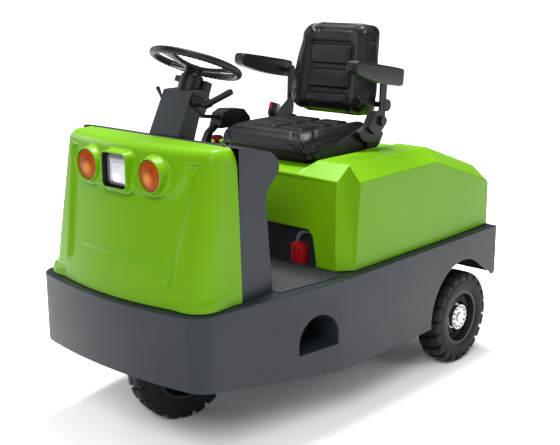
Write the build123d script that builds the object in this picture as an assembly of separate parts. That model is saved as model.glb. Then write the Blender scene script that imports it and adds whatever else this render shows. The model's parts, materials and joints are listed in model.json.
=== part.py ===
from build123d import *
from math import atan2, cos, radians, sin, sqrt, tan
import os

# Three-wheeled seated electric baggage tug. Millimetres, +Z up, the front faces -Y, left is +X.
# The origin is on the ground, on the centre plane, at mid-length.

# Wheels
tyre_radius = 207.5
tyre_width = 110.0
bead_radius = 118.0
bead_width = 88.0
rim_lip = 6.0
rim_wall = 8.0
rear_axle_y = 597.0
wheelbase = 1224.0
wheel_proud = 5.0
nut_circle = 82.5
nut_count = 8
hub_radius = 57.0
lug_count = 20
lug_gap = 14.0
lug_depth = 12.0
lug_skew = 12.0
hub_bolt_count = 12
rim_bore = 40.0
axle_inset = 35.0
front_axle_radius = 16.0
rest_steer = 15.0

# Skirt and deck
skirt_half = 531.0
skirt_front_half = 446.0
skirt_front_y = -996.0
skirt_rear_y = 875.0
kink_y = -250.0
front_arc = 1700.0
front_corner = 86.0
deck_z = 582.0
skirt_bottom_z = 213.0
skirt_front_rise = 103.0
skirt_plate = 8.0
ledge_width = 60.0
ledge_edge = 4.0
arch_radius = 240.0
arch_lift = 27.0
tail_z = 352.0
tail_width = 38.0
tail_round = 13.0
step_y = -382.0
step_width = 200.0
step_height = 137.0
step_z = 333.0
step_depth = 95.0
step_sheet = 4.0
seal_height = 4.0
seal_width = 8.0
mat_thickness = 4.0
mat_rib_pitch = 12.0
mat_rib = 1.5

# Front hood and dash cowl
seam_y = -714.0
hood_inset = 96.0
hood_narrowing = 18.0
hood_front_y = -966.0
hood_lean = 100.0
hood_top_z = 1134.0
hood_bottom_corner = 92.0
hood_top_corner = 42.0
hood_arc = 1300.0
hood_wall = 12.0
hood_top_round = 30.0
recess_depth = 10.0
cowl_inset = 10.0
cowl_round = 28.0
cowl_wall = 6.0
lamp_x = 174.0
lamp_z = 1036.0
lamp_face_y = -904.0
lamp_room_y = -780.0
lamp_radius = 51.0
pod_wall = 8.0
headlamp_width = 104.0
headlamp_height = 118.0

# Steering column
column_half = 78.0
wheel_centre = (0.0, -500.0, 1383.0)
wheel_ring_radius = 172.0
wheel_grip = 13.0
steer_tilt = 22.0
shaft_radius = 12.0
column_top_z = 1292.0
cover_thickness = 12.0
column_low_z = 1060.0
collar_radius = 45.0
boss_radius = 32.0
collar_top = -58.0
lever_root = (78.0, -582.0, 1258.0)
grip_root = (138.0, -582.0, 1250.0)

# Rear body
body_inset = 39.0
body_front_y = -200.0
body_rear_y = 866.0
body_wall = 8.0
pod_top_z = 990.0
seat_deck_z = 965.0
deck_half = 256.0
crest_y = 445.0
crest_inset = 77.0
facet_drop = 49.0
tail_crest_z = 855.0
tail_crest_y = 835.0
tail_low_z = 800.0
pod_front_y = -95.0
corner_facet = 52.0
corner_low_z = 865.0
opening_top_z = 732.0
opening_top_half = 303.0
opening_low_half = 345.0
opening_corner = 30.0

# Seat
seat_half = 252.0
seat_front_y = -130.0
seat_rear_y = 318.0
pan_z = 986.0
pan_side = 7.0
cushion_z = 1012.0
cushion_height = 72.0
back_half = 207.0
back_low_z = 1118.0
back_height = 402.0
back_y = 272.0
back_lean = 10.0
back_thickness = 72.0
shell_thickness = 26.0
arm_gap = 32.0
arm_width = 56.0
arm_depth = 76.0
arm_length = 340.0
arm_pivot_y = 345.0
arm_pivot_z = 1280.0
arm_tilt = 9.5

# Chassis below the deck
rail_inset = 156.0
rail_width = 50.0
rail_height = 80.0
axle_tube = 45.0
battery_inset = 221.0
battery_length = 520.0
battery_height = 420.0
rail_front_y = -880.0
battery_front_gap = 80.0
battery_z = 462.0
steer_head_low = 500.0
fork_clearance = 18.0
fork_plate = 16.0
fork_crown = 22.0
fork_radius = 92.0
tray_sheet = 5.0
tray_top_z = 760.0
coupler_bore = 13.0
coupler_end_y = 996.0
coupler_pin_y = 958.0
coupler_z = 300.0
coupler_plate = 16.0
coupler_gap = 40.0
seat_gap = 0.3
far = 2500.0

front_wheel_y = rear_axle_y - wheelbase
wheel_z = tyre_radius
rear_wheel_x = skirt_half + wheel_proud - tyre_width / 2
hood_half = skirt_half - hood_inset
hood_top_half = hood_half - hood_narrowing
cowl_half = hood_half - cowl_inset
body_half = skirt_half - body_inset
crest_half = body_half - crest_inset
rail_x = skirt_half - rail_inset
battery_half = skirt_half - battery_inset
battery_y = body_front_y + battery_front_gap + battery_length / 2
arm_x = seat_half + arm_gap + arm_width / 2
recliner_x = seat_half + 2
rail_top_z = deck_z - skirt_plate
column_front = [(-716, column_low_z), (-597, column_top_z)]
column_split = [(y + cover_thickness, z) for y, z in column_front]
column_back = [(-505, column_top_z), (-510, 1236), (-538, 1194), (-556, 1192), (-602, column_low_z)]
body_low_z = deck_z + seal_height


def block(x0, x1, y0, y1, z0, z1):
    return Pos((x0 + x1) / 2, (y0 + y1) / 2, (z0 + z1) / 2) * Box(x1 - x0, y1 - y0, z1 - z0)


def rod_x(radius, x0, x1, y, z):
    return Pos((x0 + x1) / 2, y, z) * Rot(0, 90, 0) * Cylinder(radius, x1 - x0)


def rod_y(radius, y0, y1, x, z):
    return Pos(x, (y0 + y1) / 2, z) * Rot(90, 0, 0) * Cylinder(radius, y1 - y0)


def rod_z(radius, z0, z1, x, y):
    return Pos(x, y, (z0 + z1) / 2) * Cylinder(radius, z1 - z0)


def side_prism(points, half, centre=0.0):
    """A prism across the vehicle from (y, z) points."""
    face = make_face(Polyline(*[(0, y, z) for y, z in points], close=True))
    return Pos(centre - half, 0, 0) * extrude(face, 2 * half, dir=(1, 0, 0))


def front_prism(points, y0, y1):
    """A prism along the vehicle from (x, z) points."""
    face = make_face(Polyline(*[(x, y0, z) for x, z in points], close=True))
    return extrude(face, y1 - y0, dir=(0, 1, 0))


def mirrored(shape):
    return mirror(shape, about=Plane.YZ)


def arc_y(x, radius, apex_y):
    return apex_y + radius - sqrt(radius**2 - x**2)


def nose_plan(half_rear, half_front, rear_y, apex_y, radius, corner):
    """Plan outline with straight sides and a shallow front arc."""
    front_y = arc_y(half_front, radius, apex_y)
    left = [(half_front, front_y), (half_rear, rear_y)]
    with BuildSketch() as plan:
        with BuildLine():
            Line(left[0], left[1])
            Line(left[1], (-half_rear, rear_y))
            Line((-half_rear, rear_y), (-half_front, front_y))
            ThreePointArc((-half_front, front_y), (0, apex_y), left[0])
        make_face()
        fillet(plan.vertices().group_by(Axis.Y)[0], corner)
    return plan.sketch


def skirt_plan(inset):
    """Plan of the skirt: straight to the kink, then tapering to the front arc."""
    nose = nose_plan(
        skirt_half - inset,
        skirt_front_half - inset,
        kink_y,
        skirt_front_y + inset,
        front_arc - inset,
        front_corner - inset,
    )
    tail = Pos(0, (kink_y + skirt_rear_y - inset) / 2) * Rectangle(
        2 * (skirt_half - inset), skirt_rear_y - inset - kink_y
    )
    return nose + tail


def step_outline(grow):
    """D-shaped step hole: flat below, arched above, as a face on the centre plane."""
    half = step_width / 2 + grow
    low = step_z - grow
    shoulder = step_z + 0.32 * step_height
    top = step_z + step_height + grow
    with BuildSketch(Plane.YZ) as outline:
        with BuildLine():
            right = (step_y + half, shoulder)
            left = (step_y - half, shoulder)
            Polyline(left, (step_y - half, low), (step_y + half, low), right)
            ThreePointArc(right, (step_y, top), left)
        make_face()
    return outline.sketch


def arch_cut():
    """Wheel arches through both sides; behind them the skirt ends in a narrow rounded tail."""
    z = wheel_z + arch_lift
    circle = rod_x(arch_radius, -2 * skirt_half, 2 * skirt_half, rear_axle_y, z)
    tip_y = skirt_rear_y - tail_width
    flank = [
        (rear_axle_y, z),
        (rear_axle_y + arch_radius * sin(radians(40)), z + arch_radius * cos(radians(40))),
        (tip_y, tail_z + tail_round),
        (tip_y + tail_round, tail_z),
        (skirt_rear_y - tail_round, tail_z),
        (skirt_rear_y + 1, tail_z + tail_round),
        (skirt_rear_y + 1, 0),
        (rear_axle_y, 0),
    ]
    return circle + side_prism(flank, 2 * skirt_half)


def skirt():
    """Bent plate wall round the vehicle with a ledge along its top."""
    outer = extrude(skirt_plan(0), deck_z)
    edges = outer.faces().sort_by(Axis.Z)[-1].edges()
    outer = fillet(edges, ledge_edge)
    inner = extrude(skirt_plan(skirt_plate), deck_z - skirt_plate)
    hatch = Pos(0, 0, deck_z - 2 * skirt_plate) * extrude(skirt_plan(ledge_width), 3 * skirt_plate)
    wall = outer - inner - hatch - block(-far, far, -far, far, -1, skirt_bottom_z)
    rise = [
        (kink_y, skirt_bottom_z - 1),
        (kink_y, skirt_bottom_z),
        (skirt_front_y - 5, skirt_bottom_z + skirt_front_rise),
        (skirt_front_y - 5, skirt_bottom_z - 1),
    ]
    wall -= side_prism(rise, 2 * skirt_half)
    wall -= arch_cut()
    hole = extrude(step_outline(0), 2 * skirt_half, dir=(1, 0, 0))
    return wall - hole - mirrored(hole)


def step_box():
    """Sheet pocket behind the left step hole, open outwards."""
    room = extrude(skirt_plan(skirt_plate), deck_z)
    back = skirt_half - skirt_plate - 60 - step_depth
    shell = Pos(back, 0, 0) * extrude(step_outline(step_sheet), skirt_half, dir=(1, 0, 0))
    hollow = Pos(back + step_sheet, 0, 0) * extrude(step_outline(0), skirt_half, dir=(1, 0, 0))
    return (shell - hollow) & room


def deck_plate():
    """Plate that closes the front of the chassis inside the ledge."""
    plate = Pos(0, 0, rail_top_z) * extrude(skirt_plan(ledge_width + seat_gap), skirt_plate)
    bay = block(-far, far, body_front_y + 35, far, 0, far)
    return plate - bay


def floor_mat():
    """Ribbed rubber mat between the cowl and the rear body."""
    back = body_front_y - 6
    front = -540.0
    edge = Pos(0, 0, deck_z) * extrude(skirt_plan(38), mat_thickness)
    mat = edge & block(-far, far, front, back, 0, far)
    ribs = []
    for i in range(int((back - front) / mat_rib_pitch)):
        y = front + (i + 0.3) * mat_rib_pitch
        rib_top = deck_z + mat_thickness + mat_rib
        ribs.append(block(-skirt_half, skirt_half, y, y + mat_rib_pitch / 2, deck_z + 3, rib_top))
    limit = Pos(0, 0, deck_z) * extrude(skirt_plan(48), 20)
    return mat + (Compound(ribs) & limit).solids()


def chassis_frame():
    """Two rails under the deck with cross members and axle hangers."""
    low = rail_top_z - rail_height
    rear_end = skirt_rear_y - skirt_plate
    frame = None
    for side in (-1, 1):
        x0 = side * rail_x - rail_width / 2
        rail = block(x0, x0 + rail_width, rail_front_y, rear_end, low, rail_top_z)
        hanger = block(x0, x0 + rail_width, rear_axle_y - 60, rear_axle_y + 60, wheel_z, low)
        hanger -= rod_x(axle_tube + seat_gap, x0 - 1, x0 + rail_width + 1, rear_axle_y, wheel_z)
        frame = rail + hanger if frame is None else frame + rail + hanger
    inner = rail_x - rail_width / 2
    for y in (-250.0, 480.0, rear_end - 50):
        frame += block(-inner, inner, y, y + 50, low, low + 44)
    return frame


def steer_head():
    """Cross plate with the housing of the steering bearing."""
    inner = rail_x - rail_width / 2
    half = fork_radius + 18
    plate_z = rail_top_z - fork_crown
    plate = block(-inner, inner, front_wheel_y - half, front_wheel_y + half, plate_z, rail_top_z)
    return plate + rod_z(fork_radius + 8, steer_head_low, plate_z, 0, front_wheel_y)


def steer_fork():
    """Slewing disc, crown and two arms that hold the front wheel, set straight ahead."""
    crown_low = 2 * tyre_radius + fork_clearance
    crown_top = crown_low + fork_crown
    arm_in = tyre_width / 2 + 10
    reach = arm_in + fork_plate
    fork = rod_z(fork_radius, crown_top, steer_head_low - seat_gap, 0, front_wheel_y)
    fork += block(-reach, reach, front_wheel_y - 60, front_wheel_y + 60, crown_low, crown_top)
    for side in (-1, 1):
        x0 = side * (arm_in + fork_plate / 2) - fork_plate / 2
        plate = block(x0, x0 + fork_plate, front_wheel_y - 38, front_wheel_y + 38, wheel_z, crown_low)
        fork += plate + rod_x(38, x0, x0 + fork_plate, front_wheel_y, wheel_z)
    return fork + rod_x(front_axle_radius, -reach - 12, reach + 12, front_wheel_y, wheel_z)


def carcass():
    """Turned form of the tyre about the X axis at the origin."""
    half = tyre_width / 2
    bead = bead_width / 2
    root = bead_radius + rim_lip + 1.5
    with BuildSketch(Plane.XY) as section:
        with BuildLine():
            bulge = [(bead + 5, root), (half - 1, bead_radius + 30), (half, bead_radius + 52)]
            shoulder = (half - 5, tyre_radius - 12)
            tread = (half - 16, tyre_radius)
            Polyline((0, bead_radius), (bead, bead_radius), (bead, root), bulge[0])
            Spline(*bulge, shoulder)
            Polyline(shoulder, tread, (0, tyre_radius))
            mirror(about=Plane.YZ)
        make_face()
    return revolve(section.sketch, Axis.X)


def lug_groove(side, turn):
    """Slot between two shoulder lugs, from near the middle of the tread out through the shoulder."""
    length = tyre_width / 2
    slot = Pos(length / 2 + 4, 0, tyre_radius) * Box(length, lug_gap, 2 * lug_depth)
    slot = Rot(0, 0, lug_skew) * slot
    shoulder = Pos(length + 3, 0, tyre_radius - 22) * Box(16, lug_gap, 44)
    slot += Rot(0, 0, lug_skew) * shoulder
    return Rot(turn, 0, 0) * (slot if side > 0 else Rot(0, 0, 180) * slot)


def tyre():
    """Tyre with two staggered rings of block lugs."""
    pitch = 360 / lug_count
    slots = []
    for i in range(lug_count):
        slots.append(lug_groove(1, i * pitch))
        slots.append(lug_groove(-1, (i + 0.5) * pitch))
    return carcass() - slots


def rim_profile(disc_x, bore):
    """Half section of a rim: barrel with two lips and a dished disc down to the bore."""
    seat = bead_radius - seat_gap
    lip = bead_radius + rim_lip
    edge = bead_width / 2
    inside = seat - rim_wall
    return [
        (-edge - 5, lip),
        (-edge - 0.5, lip),
        (-edge - 0.5, seat),
        (edge + 0.5, seat),
        (edge + 0.5, lip),
        (edge + 5, lip),
        (edge + 5, inside),
        (disc_x + 24, inside - 6),
        (disc_x + 8, inside - 24),
        (disc_x + 8, bore),
        (disc_x, bore),
        (disc_x, inside - 26),
        (disc_x + 12, inside - 1),
        (-edge - 5, inside),
    ]


def rim(disc_x, bore):
    face = make_face(Polyline(*[(x, r, 0) for x, r in rim_profile(disc_x, bore)], close=True))
    return revolve(face, Axis.X)


def rear_rim():
    """Rear rim with its ring of wheel nuts, outer side towards +X."""
    wheel = rim(-8, rim_bore)
    for i in range(nut_count):
        turn = radians(360 / nut_count * (i + 0.5))
        nut = Rot(0, 90, 0) * extrude(RegularPolygon(10, 6), 12)
        wheel += Pos(-1, nut_circle * cos(turn), nut_circle * sin(turn)) * nut
    return wheel


def rear_hub():
    """Drive hub through the rim, with a ring of flange bolts."""
    hub = rod_x(rim_bore - seat_gap, -axle_inset, 2, 0, 0) + rod_x(hub_radius, seat_gap, 14, 0, 0)
    hub += rod_x(hub_radius - 6, 14, 34, 0, 0) + rod_x(hub_radius, 34, 42, 0, 0)
    for i in range(hub_bolt_count):
        turn = radians(360 / hub_bolt_count * i)
        hub += rod_x(4.5, 42, 48, (hub_radius - 11) * cos(turn), (hub_radius - 11) * sin(turn))
    return hub + rod_x(22, 42, 47, 0, 0)


def front_rim():
    """Front rim with a hub that runs on the fork's axle."""
    wheel = rim(-4, 34)
    half = tyre_width / 2 + 10 - 5.5
    hub = rod_x(36, -half, half, 0, 0)
    return wheel + hub - rod_x(front_axle_radius + seat_gap, -half - 1, half + 1, 0, 0)


def drive_axle():
    """Rear axle housing with its differential case."""
    end = rear_wheel_x - axle_inset - seat_gap
    axle = rod_x(axle_tube, -end, end, rear_axle_y, wheel_z)
    axle += Pos(-60, rear_axle_y, wheel_z) * Rot(0, 90, 0) * Cylinder(118, 130)
    axle += Pos(-60, rear_axle_y, wheel_z) * Rot(0, 90, 0) * Cylinder(88, 190)
    axle += block(-120, 0, rear_axle_y - 190, rear_axle_y, wheel_z - 60, wheel_z + 60)
    return axle


def traction_motor():
    """Motor in front of the differential case."""
    y1 = rear_axle_y - 190
    motor = rod_y(95, y1 - 240, y1, -60, wheel_z)
    for i in range(7):
        motor += rod_y(101, y1 - 60 - 22 * i, y1 - 54 - 22 * i, -60, wheel_z)
    return motor


def battery_tray():
    """Open sheet tray between the rails, hung on them by its flanges, with the battery in it."""
    half = battery_half + 6
    y0 = battery_y - battery_length / 2 - 30
    y1 = battery_y + battery_length / 2 + 6
    z0 = battery_z - tray_sheet - seat_gap
    tray = block(-half - tray_sheet, half + tray_sheet, y0, y1 + tray_sheet, z0, tray_top_z)
    tray -= block(-half, half, y0 + tray_sheet, y1, z0 + tray_sheet, far)
    flange = rail_x + rail_width / 2
    for side in (-1, 1):
        a, b = sorted((side * (half + tray_sheet), side * flange))
        tray += block(a, b, y0, y1 + tray_sheet, rail_top_z, rail_top_z + tray_sheet)
    return tray


def battery_block():
    """Traction battery as one plain block."""
    half = battery_length / 2
    top = battery_z + battery_height
    return block(-battery_half, battery_half, battery_y - half, battery_y + half, battery_z, top)


def battery_connector():
    """Two-pole connector that stands in the opening below the seat."""
    y0 = body_front_y - 4
    top = deck_z + 66
    body = block(210, 286, y0, y0 + 34, deck_z, top)
    for x in (218, 250):
        body += block(x, x + 28, y0 + 4, y0 + 30, top, top + 8)
    return body


def tow_coupler():
    """Three-plate jaw on a backing plate, bored for a drop pin."""
    y0 = skirt_rear_y
    body = block(-150, 150, y0, y0 + 12, coupler_z - 40, coupler_z + 240)
    top = coupler_z + 3 * coupler_plate + 2 * coupler_gap
    body += block(-52, 52, y0 + 12, y0 + 34, coupler_z, top)
    for i in range(3):
        z = coupler_z + i * (coupler_plate + coupler_gap)
        tongue = block(-52, 52, y0 + 12, coupler_pin_y, z, z + coupler_plate)
        tongue += rod_z(coupler_end_y - coupler_pin_y, z, z + coupler_plate, 0, coupler_pin_y)
        body += tongue
    return body - rod_z(coupler_bore, coupler_z - 1, top + 1, 0, coupler_pin_y)


def tail_lamp():
    """Left tail lamp on the rear wall."""
    lamp = block(350, 450, skirt_rear_y, skirt_rear_y + 24, 478, 528)
    return fillet(lamp.edges().filter_by(Axis.Y), 8)


def hood_form(inset):
    """Closed outer form of the front hood: wide corners below, tight corners above."""
    low = nose_plan(
        hood_half - inset,
        hood_half - 8 - inset,
        seam_y,
        hood_front_y + inset,
        hood_arc - inset,
        hood_bottom_corner - inset,
    )
    high = nose_plan(
        hood_top_half - inset,
        hood_top_half - 12 - inset,
        seam_y,
        hood_front_y + hood_lean + inset,
        hood_arc - inset,
        hood_top_corner - inset,
    )
    z0 = body_low_z
    return loft([Pos(0, 0, z0) * low, Pos(0, 0, hood_top_z - inset) * high])


def hood_recess():
    """Outline of the sunk field on the hood's face, as a prism."""
    half = [(225, 727), (262, 655), (300, 655), (358, 1088), (302, 1088), (252, 972)]
    other = [(-x, z) for x, z in reversed(half)]
    field = front_prism(half + other, hood_front_y - 100, seam_y)
    return fillet(field.edges().filter_by(Axis.Y), 8)


def lamp_pod(x):
    """Round cup that carries a lamp, level with the road."""
    return rod_y(lamp_radius + pod_wall, lamp_face_y, lamp_face_y + 60, x, lamp_z)


def square_pod(grow, y0, y1):
    pod = block(
        -headlamp_width / 2 - grow,
        headlamp_width / 2 + grow,
        y0,
        y1,
        lamp_z - headlamp_height / 2 - grow,
        lamp_z + headlamp_height / 2 + grow,
    )
    return fillet(pod.edges().filter_by(Axis.Y), 16 + grow)


def front_hood():
    """Moulded hood shell with a sunk field and three lamp pods."""
    outer = hood_form(0)
    top = outer.faces().sort_by(Axis.Z)[-1]
    ring = [e for e in top.edges() if abs(e.center().Y - seam_y) > 1]
    outer = fillet(ring, hood_top_round)
    layer = outer - Pos(0, recess_depth, 0) * hood_form(0)
    hood = outer - (layer & hood_recess())
    for x in (-lamp_x, lamp_x):
        hood += lamp_pod(x)
    hood += square_pod(pod_wall, lamp_face_y + 2, lamp_face_y + 60)
    hood -= hood_form(hood_wall) + Pos(0, 20, 0) * hood_form(hood_wall)
    for x in (-lamp_x, lamp_x):
        hood -= rod_y(lamp_radius + seat_gap, -far, lamp_room_y, x, lamp_z)
    hood -= square_pod(seat_gap, -far, lamp_room_y)
    return hood & block(-far, far, -far, seam_y, 0, far)


def turn_lamp(x):
    """Round lamp in its pod with a slightly domed lens."""
    y0 = lamp_face_y + 10
    lamp = rod_y(lamp_radius, y0, y0 + 46, x, lamp_z)
    dome = Pos(x, y0 + 150, lamp_z) * Sphere(160)
    return lamp + (dome & rod_y(lamp_radius - 2, y0 - 30, y0 + 5, x, lamp_z))


def headlamp():
    """Square lamp block set back in its pod."""
    return square_pod(0, lamp_face_y + 14, lamp_face_y + 56)


def cowl_profile(inset):
    """Side profile of the dash cowl from the seam over the nose to the deck."""
    i = inset
    return [
        (seam_y, body_low_z),
        (seam_y, 1136 - i),
        (-690, 1135 - i),
        (-570, 1106 - i),
        (-534 - 0.5 * i, 1090 - 0.8 * i),
        (-510 - i, 1060 - 0.3 * i),
        (-508 - i, 1032),
        (-524 - i, 1012),
        (-553 - i, 985),
        (-571 - i, 958),
        (-577 - i, 925),
        (-576 - i, 890),
        (-544 - i, body_low_z),
    ]


def dash_cowl():
    """Cowl shell behind the hood with rounded side edges, open towards it and below."""
    outer = side_prism(cowl_profile(0), cowl_half)
    inner = side_prism(cowl_profile(cowl_wall), cowl_half - cowl_wall)
    slot_half = cowl_half - cowl_wall
    slot = block(-slot_half, slot_half, seam_y - 1, seam_y + 30, body_low_z - 1, hood_top_z - cowl_wall)
    ends = outer.faces().filter_by(Axis.X)
    rims = [e for f in ends for e in f.edges() if e.center().Z > deck_z + 120 and e.center().Y > seam_y + 1]
    return fillet(rims, cowl_round) - inner - slot


def column_form(points, half):
    """Part of the column's box above the cowl, from its (y, z) outline."""
    box = side_prism(points, half) - side_prism(cowl_profile(0), cowl_half)
    return box - block(-far, far, -far, seam_y, 0, far)


def column_cover():
    """Leaning front plate of the steering column."""
    return column_form([*column_front, *reversed(column_split)], column_half)


def column_rear():
    """Body of the steering column: a head that holds the levers, on a slightly narrower foot."""
    head = [(-600, 1242), column_split[1], *column_back[:3]]
    foot = [*column_split, *column_back]
    return column_form(foot, column_half - 5) + column_form(head, column_half) - column_bore()


def wheel_frame():
    """Frame at the steering wheel's centre, its Z along the column towards the driver."""
    return Pos(*wheel_centre) * Rot(-steer_tilt, 0, 0)


def column_bore():
    """Room for the steering shaft inside the column."""
    return wheel_frame() * Pos(0, 0, -100) * Cylinder(shaft_radius + seat_gap, 110)


def steering_wheel():
    """Grip ring with three spokes, the widest ahead, that fall to a narrow hub boss."""
    ring = Torus(wheel_ring_radius, wheel_grip)
    boss = Pos(0, 0, (collar_top - 10) / 2 + 0.5) * Cylinder(boss_radius, -collar_top - 11)
    boss += Pos(0, 0, collar_top + 9) * Cone(boss_radius + 12, boss_radius, 16)
    for turn, width in ((-90, 58), (15, 30), (165, 30)):
        bar = Box(wheel_ring_radius - 4, width, 12)
        bar = Pos(wheel_ring_radius / 2, 0, -10) * Rot(0, -4, 0) * fillet(bar.edges().filter_by(Axis.X), 5)
        boss += Rot(0, 0, turn) * bar
    return wheel_frame() * (ring + boss)


def steering_shaft():
    """Shaft from the wheel's boss down into the column."""
    return wheel_frame() * Pos(0, 0, collar_top - 45) * Cylinder(shaft_radius, 91)


def column_collar():
    """Round collar below the wheel's boss, with the switch block towards the driver's left."""
    low = -118.0
    collar = Pos(0, 0, (low + collar_top) / 2) * Cylinder(collar_radius, collar_top - low)
    switch = Pos(collar_radius - 4, 34, -83) * Box(44, 40, 48)
    collar += fillet(switch.edges().filter_by(Axis.Z), 9)
    collar += Pos(18 - collar_radius, -6, collar_top - 11) * Box(64, 50, 22)
    collar = wheel_frame() * collar
    outline = [*column_front, *column_back]
    return collar - column_form(outline, column_half) - column_bore()


def direction_lever():
    """Direction lever on the left of the column: ribbed gaiter, then a grip bent towards the driver."""
    foot = (Align.CENTER, Align.CENTER, Align.MIN)
    gaiter = Cylinder(26, 6, align=foot)
    for i in range(6):
        gaiter += Pos(0, 0, 4 + 8 * i) * Cylinder(25 - 1.5 * i, 4, align=foot)
        gaiter += Pos(0, 0, 4 + 8 * i) * Cylinder(20 - 1.5 * i, 8, align=foot)
    gaiter = Pos(*lever_root) * Rot(0, 90, 0) * gaiter
    grip = Pos(0, 0, 18) * Cylinder(12, 112, align=foot)
    grip += Pos(0, 0, -14) * Cone(18, 12, 38, align=foot)
    return gaiter + Pos(*grip_root) * Rot(-3, 65, 0) * grip


def signal_lever():
    """Short turn signal lever on the right of the column."""
    foot = (Align.CENTER, Align.CENTER, Align.MIN)
    lever = Cylinder(6, 30, align=foot) + Pos(0, 0, 16) * Cylinder(8, 30, align=foot)
    placed = Pos(10 - column_half, -607, 1258) * Rot(0, -30, 0) * lever
    return placed - block(-column_half, column_half, -far, far, 0, far)


def body_profile(inset):
    """Side profile of the rear body at its crest."""
    i = inset
    slope = atan2(pod_top_z - tail_crest_z, tail_crest_y - crest_y)
    return [
        (body_front_y + i, body_low_z),
        (body_front_y + i, 955 - 0.6 * i),
        (body_front_y + 26 + 0.8 * i, 974 - 0.8 * i),
        (pod_front_y + 0.2 * i, pod_top_z - i),
        (crest_y - i * tan(slope / 2), pod_top_z - i),
        (tail_crest_y - 0.4 * i, tail_crest_z - 1.02 * i),
        (body_rear_y - i, tail_low_z - 0.4 * i),
        (body_rear_y - i, body_low_z),
    ]


def body_form(inset):
    """Closed outer form of the rear body with its long facets."""
    form = side_prism(body_profile(inset), body_half - inset)
    for side in (1, -1):
        edge = side * (body_half - inset)
        crest = side * (crest_half - 0.6 * inset)
        slope = (tail_crest_z - pod_top_z) / (tail_crest_y - crest_y)
        for y0, y1, tilt in ((-400, crest_y, 0.0), (crest_y, 1100, slope)):
            lift = inset * 0.95

            def level(y, tilt=tilt):
                return pod_top_z - lift + tilt * (y - crest_y)

            wide, high = edge + 200 * side, level(y0) + 300
            low = level(y0) - facet_drop
            a = [(crest, level(y0)), (edge, low), (wide, low), (wide, high), (crest, high)]
            b = [(x, z + level(y1) - level(y0)) for x, z in a]
            first = make_face(Polyline(*[(x, y0, z) for x, z in a], close=True))
            second = make_face(Polyline(*[(x, y1, z) for x, z in b], close=True))
            form -= loft([first, second])
        c = corner_facet - 0.4 * inset
        face = make_face(Polyline(
            (edge, body_front_y + c + 8 + inset, 0),
            (edge - side * c, body_front_y + inset, 0),
            (edge - side * c, body_front_y - 300, 0),
            (edge + side * 300, body_front_y - 300, 0),
            (edge + side * 300, body_front_y + c + 8 + inset, 0),
            close=True,
        ))
        form -= extrude(face, far)
        low_corner = (side * (body_half - c), body_front_y, corner_low_z)
        corner = Plane(origin=low_corner, z_dir=(side * 0.342, -0.681, 0.649)).offset(-inset)
        form -= corner * block(-200, 200, -200, 200, 0, 200)
    return form


def seat_well(inset):
    """Room between the two pods, down to the seat deck."""
    half = deck_half + inset
    return block(-half, half, -far, crest_y + 60 + inset, seat_deck_z - inset, far)


def rear_hood():
    """Moulded body over the battery, with the seat deck between two pods."""
    outer = body_form(0) - seat_well(0)
    inner = body_form(body_wall) - seat_well(body_wall)
    half = body_half - 1.5 * body_wall
    below = block(-half, half, body_front_y + body_wall, body_rear_y - body_wall, 0, body_low_z + 10)
    hood = outer - inner - below
    mouth = [
        (-opening_low_half, body_low_z - 1),
        (opening_low_half, body_low_z - 1),
        (opening_top_half + 18, opening_top_z - 24),
        (opening_top_half, opening_top_z),
        (-opening_top_half, opening_top_z),
        (-opening_top_half - 18, opening_top_z - 24),
    ]
    opening = front_prism(mouth, body_front_y - 1, body_front_y + body_wall + 1)
    upper = [e for e in opening.edges().filter_by(Axis.Y) if e.center().Z > opening_top_z - 40]
    return hood - fillet(upper, opening_corner / 2)


def seals():
    """Rubber strips under the front hood, the cowl and the rear body, on the deck."""
    strips = []
    low = nose_plan(hood_half, hood_half - 8, seam_y, hood_front_y, hood_arc, hood_bottom_corner)
    front = extrude(offset(low, -2), seal_height) - extrude(offset(low, -2 - seal_width), seal_height)
    front -= block(-far, far, seam_y - 1, far, -far, far)
    strips.append(Pos(0, 0, deck_z) * front)
    for side in (1, -1):
        x0 = side * (cowl_half - cowl_wall / 2) - 2.5
        strips.append(block(x0, x0 + 5, seam_y, -560, deck_z, body_low_z))
    strips.append(block(-cowl_half + 40, cowl_half - 40, -552, -547, deck_z, body_low_z))
    return Compound(strips + [body_seal()])


def body_seal():
    """Rubber strip that the closed rear body rests on."""
    x0 = body_half - body_wall
    top = body_low_z - seat_gap
    strip = None
    for side in (1, -1):
        a, b = sorted((side * (x0 + 1), side * (body_half - 1)))
        piece = block(a, b, body_front_y + 70, body_rear_y - 2, deck_z, top)
        strip = piece if strip is None else strip + piece
    return strip + block(-x0 - 1, x0 + 1, body_rear_y - 7, body_rear_y - 2, deck_z, top)


def hinge_axis():
    return skirt_rear_y + 9.0, deck_z + 20.0


def hinge_fixed():
    """Lower hinge leaves on the skirt, with the pins."""
    y, z = hinge_axis()
    leaves = []
    for x in (-300, 300):
        leaf = block(x - 20, x + 20, skirt_rear_y, skirt_rear_y + 4, deck_z - 46, z)
        leaf += rod_x(7, x - 20, x + 20, y, z) + rod_x(3.5, x - 44, x + 44, y, z)
        leaves.append(leaf)
    return Compound(leaves)


def hinge_moving():
    """Upper hinge leaves on the rear body."""
    y, z = hinge_axis()
    leaves = []
    for x in (-300, 300):
        leaf = block(x - 43, x + 43, body_rear_y, body_rear_y + 4, z + 12, z + 60)
        for a, b in ((x - 43, x - 20.5), (x + 20.5, x + 43)):
            leaf += rod_x(7, a, b, y, z) + block(a, b, body_rear_y, y, z + 3.8, z + 16)
            leaf -= rod_x(3.5 + seat_gap, a - 1, b + 1, y, z)
        leaves.append(leaf)
    return Compound(leaves)


def seat_base():
    """Low sub-frame between the deck and the seat pan."""
    base = block(-190, 190, seat_front_y + 40, seat_rear_y - 20, seat_deck_z, pan_z)
    return base - block(-150, 150, seat_front_y + 80, seat_rear_y - 60, seat_deck_z - 1, pan_z - 6)


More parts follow.
